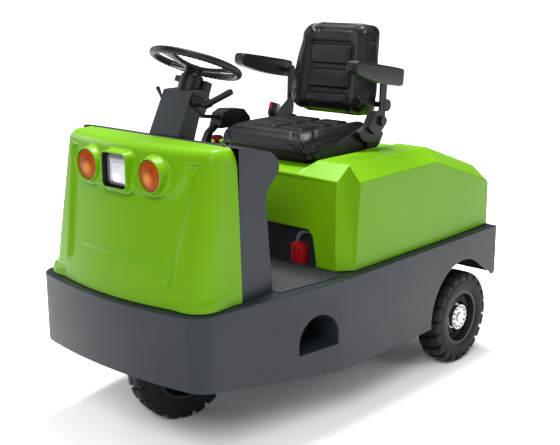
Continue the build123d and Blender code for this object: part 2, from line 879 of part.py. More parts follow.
def seat_pan():
    """Moulded pan below the cushion, with side panels that rise towards the recliners."""
    y0, y1 = seat_front_y + 14, seat_rear_y - 8
    pan = block(-seat_half + 12, seat_half - 12, y0, y1, pan_z, cushion_z)
    pan = fillet(pan.edges().filter_by(Axis.Z), 40)
    side = [
        (y0 + 30, pan_z), (y1, pan_z), (y1, pan_z + 96),
        (y1 - 130, pan_z + 92), (y0 + 150, cushion_z + 20), (y0, cushion_z),
    ]
    for centre in (-seat_half + pan_side / 2, seat_half - pan_side / 2):
        pan += side_prism(side, pan_side / 2, centre)
    for x in (-seat_half, seat_half - 12):
        pan += block(x, x + 12, y0 + 60, y1, pan_z, pan_z + 14)
    return pan


def seat_cushion():
    """Seat cushion as a plain crowned block."""
    half = seat_half - pan_side - seat_gap
    pad = block(-half, half, seat_front_y, seat_rear_y, cushion_z + seat_gap, cushion_z + cushion_height)
    pad = fillet(pad.edges().filter_by(Axis.Z), 60)
    return fillet(pad.faces().sort_by(Axis.Z)[-1].edges(), 26)


def back_frame():
    """Frame at the foot of the backrest's front face, its Z up the backrest."""
    return Pos(0, back_y, back_low_z) * Rot(-back_lean, 0, 0)


def back_slab(half_low, half_high, y0, y1, z0, z1, corner):
    points = [(-half_low, z0), (half_low, z0), (half_high, z1), (-half_high, z1)]
    slab = front_prism(points, y0, y1)
    edges = [e for e in slab.edges() if abs(e.center().Y - (y0 + y1) / 2) < 1 and e.length < (y1 - y0) + 1]
    return fillet(edges, corner)


def seat_back():
    """Backrest cushion as a plain tapered block."""
    pad = back_slab(back_half, back_half - 26, 0, back_thickness, 0, back_height, 44)
    pad = fillet(pad.faces().sort_by(Axis.Y)[0].edges(), 22)
    return back_frame() * pad


def back_shell():
    """Moulded shell on the rear of the backrest."""
    y0 = back_thickness + seat_gap
    shell = back_slab(back_half - 8, back_half - 34, y0, y0 + shell_thickness, 8, back_height - 8, 40)
    return back_frame() * fillet(shell.faces().sort_by(Axis.Y)[-1].edges(), 12)


def recliner(side):
    """Recliner: plate from the seat pan to the armrest pin, covered on the left."""
    x0 = recliner_x
    plate = [
        (230, pan_z + 6), (seat_rear_y - 14, pan_z + 6), (352, 1096), (arm_pivot_y + 22, arm_pivot_z),
        (arm_pivot_y + 12, arm_pivot_z + 22), (arm_pivot_y - 14, arm_pivot_z + 22),
        (arm_pivot_y - 22, arm_pivot_z), (318, 1150), (262, 1110), (222, 1070),
    ]
    bracket = side_prism(plate, 5, x0 + 5)
    bracket += block(seat_half + seat_gap, x0, 240, seat_rear_y - 30, pan_z + 20, cushion_z + 20)
    reach = back_thickness + shell_thickness / 2
    lift = 60.0
    y = back_y + reach * cos(radians(back_lean)) + lift * sin(radians(back_lean))
    z = back_low_z - reach * sin(radians(back_lean)) + lift * cos(radians(back_lean))
    bracket += rod_x(12, back_half - 10.4, x0, y, z)
    bracket += rod_x(26, x0, x0 + 12, y, z)
    bracket += rod_x(9, x0 + 10, arm_x - arm_width / 2 + 16, arm_pivot_y, arm_pivot_z)
    return bracket + recliner_cover(x0) if side > 0 else mirrored(bracket)


def recliner_cover(x0):
    """Cover of the recliner on its control side, with its knob and release lever."""
    cover = [(152, 1070), (176, 1036), (236, 1014), (296, 1016), (312, 1040), (300, 1080), (236, 1106)]
    shell = fillet(side_prism(cover, 12, x0 + 12).edges().filter_by(Axis.X), 9)
    housing = [(200, 1084), (250, 1154), (284, 1146), (320, 1118), (304, 1072), (240, 1054)]
    shell += fillet(side_prism(housing, 20, x0 + 20).edges().filter_by(Axis.X), 8)
    shell += rod_x(20, x0 + 39, x0 + 54, 287, 1106)
    return shell + Pos(x0 + 18, 308, 1030) * Rot(-35, 0, 0) * Box(8, 14, 52)


def armrest(side):
    """Armrest pad, deep at its pin and rounded up to its tip, bored for the pivot pin."""
    inner = arm_x - arm_width / 2
    tip = -arm_length
    outline = [
        (0, 6), (0, arm_depth), (tip, arm_depth), (tip, 26),
        (tip + 50, 14), (tip + 230, 0), (-26, 0),
    ]
    pad = side_prism(outline, arm_width / 2, inner + arm_width / 2)
    pad = fillet(pad.edges().filter_by(Axis.X), 11)
    pad = Pos(0, arm_pivot_y + 32, arm_pivot_z - 35) * Rot(-arm_tilt, 0, 0) * pad
    pad -= rod_x(9 + seat_gap, inner - 1, inner + 16 + seat_gap, arm_pivot_y, arm_pivot_z)
    return pad if side > 0 else mirrored(pad)


def belt_buckle():
    """Seat belt buckle on its stalk at the right of the seat."""
    x = -(seat_half + 7)
    foot = block(x - 3, -(seat_half + seat_gap), 166, 192, pan_z + 16, cushion_z + 16)
    frame = Pos(x, 179, cushion_z - 12) * Rot(-12, 0, 0)
    stalk = Pos(0, 0, 48) * Box(6, 22, 92)
    head = Pos(0, 0, 122) * Box(24, 38, 60)
    return foot + frame * (stalk + head)


def side_console():
    """Lever console on the right pod: bevelled box on a curved foot, with its flat hand lever."""
    x0 = -(crest_half - 87)
    outline = [(-88, 1058), (-66, 1122), (-24, 1138), (66, 1130), (104, 1090), (104, 1058)]
    box = fillet(side_prism(outline, 34, x0).edges().filter_by(Axis.X), 6)
    foot = [
        (-168, pod_top_z), (-122, pod_top_z), (-116, 1034), (-80, 1058),
        (-30, 1058), (-30, 1074), (-96, 1074), (-136, 1046),
    ]
    box += side_prism(foot, 14, x0)
    box += block(x0 - 16, x0 + 16, 20, 84, pod_top_z, 1060)
    return box + side_prism([(-178, 1128), (-174, 1112), (-60, 1096), (-60, 1112)], 12, x0)


def stop_button():
    """Mushroom stop button on a stub on the right pod."""
    x, y = -(crest_half - 73), -62.0
    return rod_z(12, pod_top_z, pod_top_z + 18, x, y) + rod_z(20, pod_top_z + 18, pod_top_z + 34, x, y)


def pedals():
    """Accelerator and brake pedals on the mat below the cowl."""
    z0 = deck_z + mat_thickness + mat_rib + seat_gap
    pair = []
    for x, half in ((-150, 34), (-20, 42)):
        foot = block(x - half, x + half, -470, -440, z0, z0 + 8)
        plate = side_prism([(-470, z0), (-455, z0 + 8), (-522, z0 + 92), (-528, z0 + 86)], half, x)
        pair.append(foot + plate)
    return Compound(pair)


def write(name, shape):
    export_step(shape, f"parts/{name}.step")


def front_wheel_place():
    return Pos(0, front_wheel_y, 0) * Rot(0, 0, -rest_steer) * Pos(0, -front_wheel_y, 0)


def main():
    os.makedirs("parts", exist_ok=True)
    steered = front_wheel_place()
    write("skirt", skirt())
    write("step_boxes", Compound([step_box(), mirrored(step_box())]))
    write("deck_plate", deck_plate())
    write("floor_mat", floor_mat())
    write("chassis_frame", chassis_frame())
    write("steer_head", steer_head())
    write("steer_fork", steered * steer_fork())
    write("front_rim", steered * Pos(0, front_wheel_y, wheel_z) * front_rim())
    write("front_tyre", steered * Pos(0, front_wheel_y, wheel_z) * tyre())
    rear = Pos(rear_wheel_x, rear_axle_y, wheel_z)
    for side, name in ((1, "left"), (-1, "right")):
        for piece, shape in (("tyre", tyre()), ("rim", rear_rim()), ("hub", rear_hub())):
            placed = rear * shape
            write(f"rear_{piece}_{name}", placed if side > 0 else mirrored(placed))
    write("drive_axle", drive_axle())
    write("traction_motor", traction_motor())
    write("battery_tray", battery_tray())
    write("battery_block", battery_block())
    write("battery_connector", battery_connector())
    write("tow_coupler", tow_coupler())
    write("tail_lamps", Compound([tail_lamp(), mirrored(tail_lamp())]))
    write("front_hood", front_hood())
    write("turn_lamps", Compound([turn_lamp(lamp_x), turn_lamp(-lamp_x)]))
    write("headlamp", headlamp())
    write("dash_cowl", dash_cowl())
    write("column_cover", column_cover())
    write("column_rear", column_rear())
    write("steering_wheel", steering_wheel())
    write("steering_shaft", steering_shaft())
    write("column_collar", column_collar())
    write("column_levers", Compound([direction_lever(), signal_lever()]))
    write("pedals", pedals())
    write("seals", seals())
    write("rear_hood", rear_hood())
    write("hinge_fixed", hinge_fixed())
    write("hinge_moving", hinge_moving())
    write("seat_base", seat_base())
    write("seat_pan", seat_pan())
    write("seat_cushion", seat_cushion())
    write("seat_back", seat_back())
    write("back_shell", back_shell())
    for side, name in ((1, "left"), (-1, "right")):
        write(f"recliner_{name}", recliner(side))
        write(f"armrest_{name}", armrest(side))
    write("belt_buckle", belt_buckle())
    write("side_console", side_console())
    write("stop_button", stop_button())


main()
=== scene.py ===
import bpy
import bmesh
import json
import numpy as np
from math import radians, pi, sin, cos, sqrt, atan2
from mathutils import Matrix, Vector

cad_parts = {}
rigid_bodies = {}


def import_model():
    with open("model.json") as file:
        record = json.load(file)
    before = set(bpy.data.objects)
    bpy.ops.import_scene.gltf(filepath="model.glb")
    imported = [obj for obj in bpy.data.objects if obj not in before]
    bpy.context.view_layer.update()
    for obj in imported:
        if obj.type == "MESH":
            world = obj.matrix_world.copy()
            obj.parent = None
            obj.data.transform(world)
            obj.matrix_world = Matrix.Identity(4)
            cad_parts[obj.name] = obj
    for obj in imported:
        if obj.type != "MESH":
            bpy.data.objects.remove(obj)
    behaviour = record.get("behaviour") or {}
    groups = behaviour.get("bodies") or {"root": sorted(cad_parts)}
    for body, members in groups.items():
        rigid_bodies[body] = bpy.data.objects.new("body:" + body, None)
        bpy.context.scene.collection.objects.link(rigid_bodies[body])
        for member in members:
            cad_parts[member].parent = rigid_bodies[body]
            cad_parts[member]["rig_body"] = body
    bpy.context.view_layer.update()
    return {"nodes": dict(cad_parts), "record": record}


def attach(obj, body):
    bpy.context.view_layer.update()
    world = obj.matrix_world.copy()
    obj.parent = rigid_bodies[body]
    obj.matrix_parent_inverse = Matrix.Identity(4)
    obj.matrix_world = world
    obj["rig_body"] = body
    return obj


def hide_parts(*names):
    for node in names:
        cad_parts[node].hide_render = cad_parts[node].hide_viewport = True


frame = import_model()
nodes = frame["nodes"]
print("frame loaded:", len(nodes), "nodes")

# metres, +Z up, the front faces -Y and left is +X, as in the frame

wheels = {
    "radius": 0.2075,
    "width": 0.110,
    "rearAxleY": 0.597,
    "rearX": 0.481,
    "frontAxleY": -0.627,
    "restSteer": radians(15.0),
}
deckZ = 0.582  # top of the skirt's ledge


# scene: camera, lamps and floor

camera = {
    "place": (2.783, -3.139, 1.721),
    "heading": radians(41.815),
    "pitch": radians(14.042),
    "roll": radians(-0.18),
    "focalPixels": 1006.4,
    "framePixels": 560,
    "sensor": 36.0,
}

studio = {
    "world": 0.24,
    "worldColor": (0.97, 0.98, 1.0, 1.0),
    "floor": (0.55, 0.55, 0.55, 1.0),
    "floorSeen": (1.9, 1.9, 1.9, 1.0),  # the floor's colour for camera and mirror rays, near and far
    "floorFar": (5.5, 5.5, 5.5, 1.0),
    "floorReach": (2.2, 7.0),
    "floorHalf": 90.0,
    "lamps": [  # name, place, aim, size, watts
        ("keyLamp", (2.6, -4.2, 4.2), (0.0, -0.3, 0.6), 2.6, 118.0),
        ("topLamp", (-0.6, 0.8, 4.6), (0.0, 0.1, 0.6), 2.2, 225.0),
        ("sideLamp", (4.4, 1.6, 2.2), (0.2, 0.3, 0.6), 2.4, 26.0),
        ("farLamp", (-4.0, -1.6, 2.6), (-0.2, -0.4, 0.7), 2.4, 46.0),
    ],
}


def addCamera():
    lens = camera["sensor"] * camera["focalPixels"] / camera["framePixels"]
    data = bpy.data.cameras.new("camera")
    data.lens = lens
    data.sensor_width = camera["sensor"]
    data.sensor_fit = "HORIZONTAL"
    data.clip_end = 60.0
    obj = bpy.data.objects.new("camera", data)
    turn = Matrix.Rotation(camera["heading"], 4, "Z") @ Matrix.Rotation(pi / 2 - camera["pitch"], 4, "X")
    obj.matrix_world = Matrix.Translation(camera["place"]) @ turn @ Matrix.Rotation(camera["roll"], 4, "Z")
    bpy.context.scene.collection.objects.link(obj)
    bpy.context.scene.camera = obj


def addLamp(name, place, aim, size, watts):
    data = bpy.data.lights.new(name, "AREA")
    data.shape = "DISK"
    data.size = size
    data.energy = watts
    obj = bpy.data.objects.new(name, data)
    direction = Vector(aim) - Vector(place)
    obj.location = place
    obj.rotation_euler = direction.to_track_quat("-Z", "Y").to_euler()
    bpy.context.scene.collection.objects.link(obj)


def mathNode(tree, operation, a, b=None, clamp=False):
    node = tree.nodes.new("ShaderNodeMath")
    node.operation = operation
    node.use_clamp = clamp
    for index, value in enumerate((a, b)):
        if value is None:
            continue
        if isinstance(value, (int, float)):
            node.inputs[index].default_value = value
        else:
            tree.links.new(value, node.inputs[index])
    return node.outputs[0]


def addWorld():
    world = bpy.data.worlds.new("studioWorld")
    bpy.context.scene.world = world
    world.use_nodes = True
    tree = world.node_tree
    tree.nodes.clear()
    out = tree.nodes.new("ShaderNodeOutputWorld")
    soft = tree.nodes.new("ShaderNodeBackground")
    soft.inputs["Color"].default_value = studio["worldColor"]
    soft.inputs["Strength"].default_value = studio["world"]
    white = tree.nodes.new("ShaderNodeBackground")
    white.inputs["Color"].default_value = (1, 1, 1, 1)
    white.inputs["Strength"].default_value = 1.0
    path = tree.nodes.new("ShaderNodeLightPath")
    seen = mathNode(tree, "MAXIMUM", path.outputs["Is Camera Ray"], path.outputs["Is Transmission Ray"])
    mix = tree.nodes.new("ShaderNodeMixShader")
    tree.links.new(seen, mix.inputs["Fac"])
    tree.links.new(soft.outputs[0], mix.inputs[1])
    tree.links.new(white.outputs[0], mix.inputs[2])
    tree.links.new(mix.outputs[0], out.inputs["Surface"])


def addFloor():
    # pale floor that looks white in the open and still takes the object's shadow
    mesh = bpy.data.meshes.new("floor")
    half = studio["floorHalf"]
    mesh.from_pydata([(-half, -half, 0), (half, -half, 0), (half, half, 0), (-half, half, 0)], [], [(0, 1, 2, 3)])
    obj = bpy.data.objects.new("floor", mesh)
    bpy.context.scene.collection.objects.link(obj)
    mat = bpy.data.materials.new("studioFloor")
    mat.use_nodes = True
    tree = mat.node_tree
    tree.nodes.clear()
    path = tree.nodes.new("ShaderNodeLightPath")
    seen = mathNode(tree, "MAXIMUM", path.outputs["Is Camera Ray"], path.outputs["Is Glossy Ray"])
    seen = mathNode(tree, "MAXIMUM", seen, path.outputs["Is Transmission Ray"])
    coord = tree.nodes.new("ShaderNodeTexCoord")
    reach = tree.nodes.new("ShaderNodeVectorMath")
    reach.operation = "LENGTH"
    tree.links.new(coord.outputs["Object"], reach.inputs[0])
    away = tree.nodes.new("ShaderNodeMapRange")
    away.interpolation_type = "SMOOTHSTEP"
    away.inputs["From Min"].default_value, away.inputs["From Max"].default_value = studio["floorReach"]
    tree.links.new(reach.outputs["Value"], away.inputs["Value"])
    shown = tree.nodes.new("ShaderNodeMix")
    shown.data_type = "RGBA"
    shown.inputs[6].default_value = studio["floorSeen"]
    shown.inputs[7].default_value = studio["floorFar"]
    tree.links.new(away.outputs[0], shown.inputs["Factor"])
    chosen = tree.nodes.new("ShaderNodeMix")
    chosen.data_type = "RGBA"
    chosen.inputs[6].default_value = studio["floor"]
    tree.links.new(shown.outputs[2], chosen.inputs[7])
    tree.links.new(seen, chosen.inputs["Factor"])
    surface = tree.nodes.new("ShaderNodeBsdfDiffuse")
    tree.links.new(chosen.outputs[2], surface.inputs["Color"])
    out = tree.nodes.new("ShaderNodeOutputMaterial")
    tree.links.new(surface.outputs[0], out.inputs["Surface"])
    mesh.materials.append(mat)


def setupScene():
    addCamera()
    addWorld()
    addFloor()
    for row in studio["lamps"]:
        addLamp(*row)
    bpy.context.scene.view_settings.view_transform = "Standard"


setupScene()
print("studio ready")


# shader groups that several finishes share

def newGroup(name, inputs, outputs):
    group = bpy.data.node_groups.new(name, "ShaderNodeTree")
    for label, kind, value in inputs:
        socket = group.interface.new_socket(label, in_out="INPUT", socket_type=kind)
        socket.default_value = value
    for label, kind in outputs:
        group.interface.new_socket(label, in_out="OUTPUT", socket_type=kind)
    return group, group.nodes.new("NodeGroupInput"), group.nodes.new("NodeGroupOutput")


def mapRange(tree, value, low, high, toLow=0.0, toHigh=1.0, smooth=False):
    node = tree.nodes.new("ShaderNodeMapRange")
    node.interpolation_type = "SMOOTHSTEP" if smooth else "LINEAR"
    tree.links.new(value, node.inputs["Value"])
    for label, number in (("From Min", low), ("From Max", high), ("To Min", toLow), ("To Max", toHigh)):
        if isinstance(number, (int, float)):
            node.inputs[label].default_value = number
        else:
            tree.links.new(number, node.inputs[label])
    return node.outputs[0]


def grainGroup():
    # fine moulded or sprayed texture: a height, and a slow mask that changes gloss from place to place
    group, source, sink = newGroup(
        "surfaceGrain",
        [("Scale", "NodeSocketFloat", 900.0), ("Patch Scale", "NodeSocketFloat", 3.0)],
        [("Height", "NodeSocketFloat"), ("Patch", "NodeSocketFloat")],
    )
    coord = group.nodes.new("ShaderNodeTexCoord")
    fine = group.nodes.new("ShaderNodeTexNoise")
    fine.inputs["Detail"].default_value = 3.0
    fine.inputs["Roughness"].default_value = 0.6
    slow = group.nodes.new("ShaderNodeTexNoise")
    slow.inputs["Detail"].default_value = 4.0
    for node, label in ((fine, "Scale"), (slow, "Patch Scale")):
        group.links.new(coord.outputs["Object"], node.inputs["Vector"])
        group.links.new(source.outputs[label], node.inputs["Scale"])
    group.links.new(fine.outputs["Fac"], sink.inputs["Height"])
    group.links.new(slow.outputs["Fac"], sink.inputs["Patch"])
    return group


def leatherGroup():
    # pebbled vinyl: rounded cells with thin valleys between them
    group, source, sink = newGroup(
        "vinylGrain",
        [("Scale", "NodeSocketFloat", 420.0)],
        [("Height", "NodeSocketFloat"), ("Valley", "NodeSocketFloat")],
    )
    coord = group.nodes.new("ShaderNodeTexCoord")
    cells = group.nodes.new("ShaderNodeTexVoronoi")
    cells.feature = "DISTANCE_TO_EDGE"
    warp = group.nodes.new("ShaderNodeTexNoise")
    group.links.new(coord.outputs["Object"], cells.inputs["Vector"])
    group.links.new(source.outputs["Scale"], cells.inputs["Scale"])
    group.links.new(coord.outputs["Object"], warp.inputs["Vector"])
    warp.inputs["Scale"].default_value = 60.0
    crest = mapRange(group, cells.outputs["Distance"], 0.0, 0.22, smooth=True)
    height = mathNode(group, "ADD", crest, mathNode(group, "MULTIPLY", warp.outputs["Fac"], 0.6))
    group.links.new(height, sink.inputs["Height"])
    # the valley mask, which the vinyl uses for painted shade in the hollows
    group.links.new(mathNode(group, "SUBTRACT", 1.0, crest, True), sink.inputs["Valley"])
    return group


def dustGroup():
    # light dust, in patches, low down near the floor
    group, source, sink = newGroup(
        "settledDust",
        [("Amount", "NodeSocketFloat", 0.3), ("Low Height", "NodeSocketFloat", 0.35)],
        [("Mask", "NodeSocketFloat")],
    )
    coord = group.nodes.new("ShaderNodeTexCoord")
    place = group.nodes.new("ShaderNodeSeparateXYZ")
    group.links.new(coord.outputs["Object"], place.inputs[0])
    speck = group.nodes.new("ShaderNodeTexNoise")
    speck.inputs["Scale"].default_value = 14.0
    speck.inputs["Detail"].default_value = 8.0
    speck.inputs["Roughness"].default_value = 0.7
    group.links.new(coord.outputs["Object"], speck.inputs["Vector"])
    low = mapRange(group, place.outputs["Z"], 0.0, source.outputs["Low Height"], 1.0, 0.0, True)
    spread = mapRange(group, speck.outputs["Fac"], 0.4, 0.72)
    mask = mathNode(group, "MULTIPLY", mathNode(group, "MULTIPLY", low, spread), source.outputs["Amount"], True)
    group.links.new(mask, sink.inputs["Mask"])
    return group


groups = {"grain": grainGroup(), "vinyl": leatherGroup(), "dust": dustGroup()}
print("shader groups ready")


def useGroup(tree, group, **values):
    node = tree.nodes.new("ShaderNodeGroup")
    node.node_tree = group
    for label, value in values.items():
        node.inputs[label.replace("_", " ")].default_value = value
    return node


def mixColor(tree, factor, a, b):
    node = tree.nodes.new("ShaderNodeMix")
    node.data_type = "RGBA"
    tree.links.new(factor, node.inputs["Factor"])
    for index, value in ((6, a), (7, b)):
        if isinstance(value, tuple):
            node.inputs[index].default_value = value
        else:
            tree.links.new(value, node.inputs[index])
    return node.outputs[2]


finishes = {
    "greenPaint": dict(color=(0.225, 0.560, 0.002), shade=(0.212, 0.535, 0.001), rough=0.34, coat=0.08, mirror=0.20,
                       grain=260.0, bump=0.03, patch=2.0, dust=0.04),
    "graphitePaint": dict(color=(0.029, 0.037, 0.047), shade=(0.025, 0.032, 0.042), rough=0.40, coat=0.04, mirror=0.25,
                          grain=700.0, bump=0.06, patch=2.5, dust=0.16),
    "blackSteel": dict(color=(0.009, 0.010, 0.012), shade=(0.007, 0.008, 0.009), rough=0.38, mirror=0.28,
                       grain=500.0, bump=0.08, patch=4.0, dust=0.2),
    "blackPlastic": dict(color=(0.009, 0.010, 0.012), shade=(0.007, 0.008, 0.009), rough=0.40, mirror=0.26,
                         grain=1100.0, bump=0.14, patch=6.0, dust=0.04),
    "tyreRubber": dict(color=(0.008, 0.008, 0.009), shade=(0.013, 0.0125, 0.012), rough=0.58, mirror=0.22,
                       grain=420.0, bump=0.16, patch=9.0, dust=0.22, dustColor=(0.060, 0.056, 0.050)),
    "gripPlastic": dict(color=(0.008, 0.0085, 0.010), shade=(0.011, 0.0115, 0.013), rough=0.36, mirror=0.28,
                        grain=1400.0, bump=0.10, patch=8.0, dust=0.0),
    "matRubber": dict(color=(0.040, 0.042, 0.045), shade=(0.028, 0.030, 0.033), rough=0.55, mirror=0.25,
                      grain=600.0, bump=0.14, patch=12.0, dust=0.05),
    "sealRubber": dict(color=(0.009, 0.009, 0.010), shade=(0.012, 0.012, 0.012), rough=0.7,
                       grain=600.0, bump=0.1, patch=8.0, dust=0.05),
    "bareSteel": dict(color=(0.50, 0.50, 0.49), shade=(0.38, 0.38, 0.38), rough=0.30, metal=1.0,
                      grain=300.0, bump=0.08, patch=30.0, dust=0.05),
    "castIron": dict(color=(0.055, 0.056, 0.058), shade=(0.035, 0.036, 0.038), rough=0.55, metal=0.6,
                     grain=180.0, bump=0.25, patch=14.0, dust=0.3),
    "batteryCase": dict(color=(0.045, 0.048, 0.052), shade=(0.035, 0.037, 0.04), rough=0.5,
                        grain=500.0, bump=0.1, patch=6.0, dust=0.1),
    "redPlastic": dict(color=(0.62, 0.012, 0.016), shade=(0.54, 0.009, 0.012), rough=0.34, mirror=0.25,
                       grain=500.0, bump=0.05, patch=20.0, dust=0.0),
    "greyStrap": dict(color=(0.16, 0.20, 0.20), shade=(0.12, 0.15, 0.15), rough=0.6,
                      grain=500.0, bump=0.1, patch=20.0, dust=0.0),
    "paleWebbing": dict(color=(0.50, 0.51, 0.51), shade=(0.40, 0.41, 0.41), rough=0.7,
                        grain=500.0, bump=0.2, patch=20.0, dust=0.0),
}


def makeFinish(name):
    f = finishes[name]
    mat = bpy.data.materials.new(name)
    mat.use_nodes = True
    tree = mat.node_tree
    shader = tree.nodes["Principled BSDF"]
    grain = useGroup(tree, groups["grain"], Scale=f["grain"], Patch_Scale=f["patch"])
    patch = mapRange(tree, grain.outputs["Patch"], 0.35, 0.68)
    color = mixColor(tree, patch, (*f["color"], 1.0), (*f["shade"], 1.0))
    rough = mapRange(tree, patch, 0.0, 1.0, f["rough"], min(1.0, f["rough"] + 0.07))
    if f["dust"] > 0:
        dust = useGroup(tree, groups["dust"], Amount=f["dust"])
        color = mixColor(tree, dust.outputs["Mask"], color, (*f.get("dustColor", (0.22, 0.21, 0.20)), 1.0))
        rough = mathNode(tree, "ADD", rough, mathNode(tree, "MULTIPLY", dust.outputs["Mask"], 0.3), True)
    tree.links.new(color, shader.inputs["Base Color"])
    tree.links.new(rough, shader.inputs["Roughness"])
    shader.inputs["Metallic"].default_value = f.get("metal", 0.0)
    shader.inputs["Specular IOR Level"].default_value = f.get("mirror", 0.5)
    shader.inputs["Coat Weight"].default_value = f.get("coat", 0.0)
    shader.inputs["Coat Roughness"].default_value = 0.12
    bump = tree.nodes.new("ShaderNodeBump")
    bump.inputs["Strength"].default_value = f["bump"]
    bump.inputs["Distance"].default_value = 0.001
    tree.links.new(grain.outputs["Height"], bump.inputs["Height"])
    tree.links.new(bump.outputs["Normal"], shader.inputs["Normal"])
    return mat


def makeVinyl():
    mat = bpy.data.materials.new("blackVinyl")
    mat.use_nodes = True
    tree = mat.node_tree
    shader = tree.nodes["Principled BSDF"]
    skin = useGroup(tree, groups["vinyl"], Scale=520.0)
    slow = useGroup(tree, groups["grain"], Scale=90.0, Patch_Scale=5.0)
    # painted shade: the grain's valleys are darker, as shade in the hollows between the cells
    color = mixColor(tree, skin.outputs["Valley"], (0.0085, 0.0095, 0.012, 1.0), (0.004, 0.0045, 0.006, 1.0))
    rough = mapRange(tree, slow.outputs["Patch"], 0.3, 0.7, 0.28, 0.37)
    shader.inputs["Specular IOR Level"].default_value = 0.30
    tree.links.new(color, shader.inputs["Base Color"])
    tree.links.new(rough, shader.inputs["Roughness"])
    bump = tree.nodes.new("ShaderNodeBump")
    bump.inputs["Strength"].default_value = 0.22
    bump.inputs["Distance"].default_value = 0.0012
    tree.links.new(skin.outputs["Height"], bump.inputs["Height"])
    tree.links.new(bump.outputs["Normal"], shader.inputs["Normal"])
    return mat


# where the turn lamps carry a painted highlight
lensHighlightSpot = (0.168, 1.022)  # x to either side and z of the bright spot in the turn lamps


def makeLens(name, color, paintedLight, rings):
    # moulded lens: a deep colour with fine prisms, each prism cell lighter in its middle as a painted glint
    mat = bpy.data.materials.new(name)
    mat.use_nodes = True
    tree = mat.node_tree
    shader = tree.nodes["Principled BSDF"]
    coord = tree.nodes.new("ShaderNodeTexCoord")
    prism = tree.nodes.new("ShaderNodeTexVoronoi")
    prism.distance = "CHEBYCHEV"
    prism.inputs["Scale"].default_value = rings
    prism.inputs["Randomness"].default_value = 0.15
    tree.links.new(coord.outputs["Object"], prism.inputs["Vector"])
    cells = mapRange(tree, prism.outputs["Distance"], 0.1, 0.7)
    # painted glints: the middle of each prism cell takes the lighter colour
    shade = mixColor(tree, cells, (*paintedLight, 1.0), (*color, 1.0))
    tree.links.new(shade, shader.inputs["Base Color"])
    shader.inputs["Roughness"].default_value = 0.12
    shader.inputs["Coat Weight"].default_value = 0.8
    shader.inputs["Coat Roughness"].default_value = 0.04
    bump = tree.nodes.new("ShaderNodeBump")
    bump.inputs["Strength"].default_value = 0.35
    bump.inputs["Distance"].default_value = 0.0015
    tree.links.new(prism.outputs["Distance"], bump.inputs["Height"])
    tree.links.new(bump.outputs["Normal"], shader.inputs["Normal"])
    return mat


def makeAmber():
    # turn lamp glass: deep orange prisms with painted glints in their middles, and a painted highlight low in the
    # middle where the bulb sits, so the glass is darker towards the rim
    mat = bpy.data.materials.new("amberLens")
    mat.use_nodes = True
    tree = mat.node_tree
    shader = tree.nodes["Principled BSDF"]
    coord = tree.nodes.new("ShaderNodeTexCoord")
    split = tree.nodes.new("ShaderNodeSeparateXYZ")
    tree.links.new(coord.outputs["Object"], split.inputs[0])
    across = mathNode(tree, "SUBTRACT", mathNode(tree, "ABSOLUTE", split.outputs["X"]), lensHighlightSpot[0])
    rise = mathNode(tree, "SUBTRACT", split.outputs["Z"], lensHighlightSpot[1])
    square = mathNode(tree, "ADD", mathNode(tree, "MULTIPLY", across, across), mathNode(tree, "MULTIPLY", rise, rise))
    reach = mathNode(tree, "SQRT", square)
    # painted highlight: lighter low in the middle of each lens, where the bulb and reflector would catch the light
    paintedHighlight = mapRange(tree, reach, 0.004, 0.034, 1.0, 0.0, True)
    prism = tree.nodes.new("ShaderNodeTexVoronoi")
    prism.distance = "CHEBYCHEV"
    prism.inputs["Scale"].default_value = 120.0
    prism.inputs["Randomness"].default_value = 0.3
    tree.links.new(coord.outputs["Object"], prism.inputs["Vector"])
    # painted glints: each prism cell is a lighter orange in its middle
    cells = mapRange(tree, prism.outputs["Distance"], 0.05, 0.6)
    deep = mixColor(tree, cells, (0.72, 0.125, 0.003, 1.0), (0.42, 0.050, 0.001, 1.0))
    color = mixColor(tree, paintedHighlight, deep, (1.0, 0.36, 0.03, 1.0))
    tree.links.new(color, shader.inputs["Base Color"])
    shader.inputs["Roughness"].default_value = 0.30
    shader.inputs["Specular IOR Level"].default_value = 0.12
    shader.inputs["Coat Weight"].default_value = 0.08
    shader.inputs["Coat Roughness"].default_value = 0.05
    bump = tree.nodes.new("ShaderNodeBump")
    bump.inputs["Strength"].default_value = 0.4
    bump.inputs["Distance"].default_value = 0.0015
    tree.links.new(prism.outputs["Distance"], bump.inputs["Height"])
    tree.links.new(bump.outputs["Normal"], shader.inputs["Normal"])
    return mat


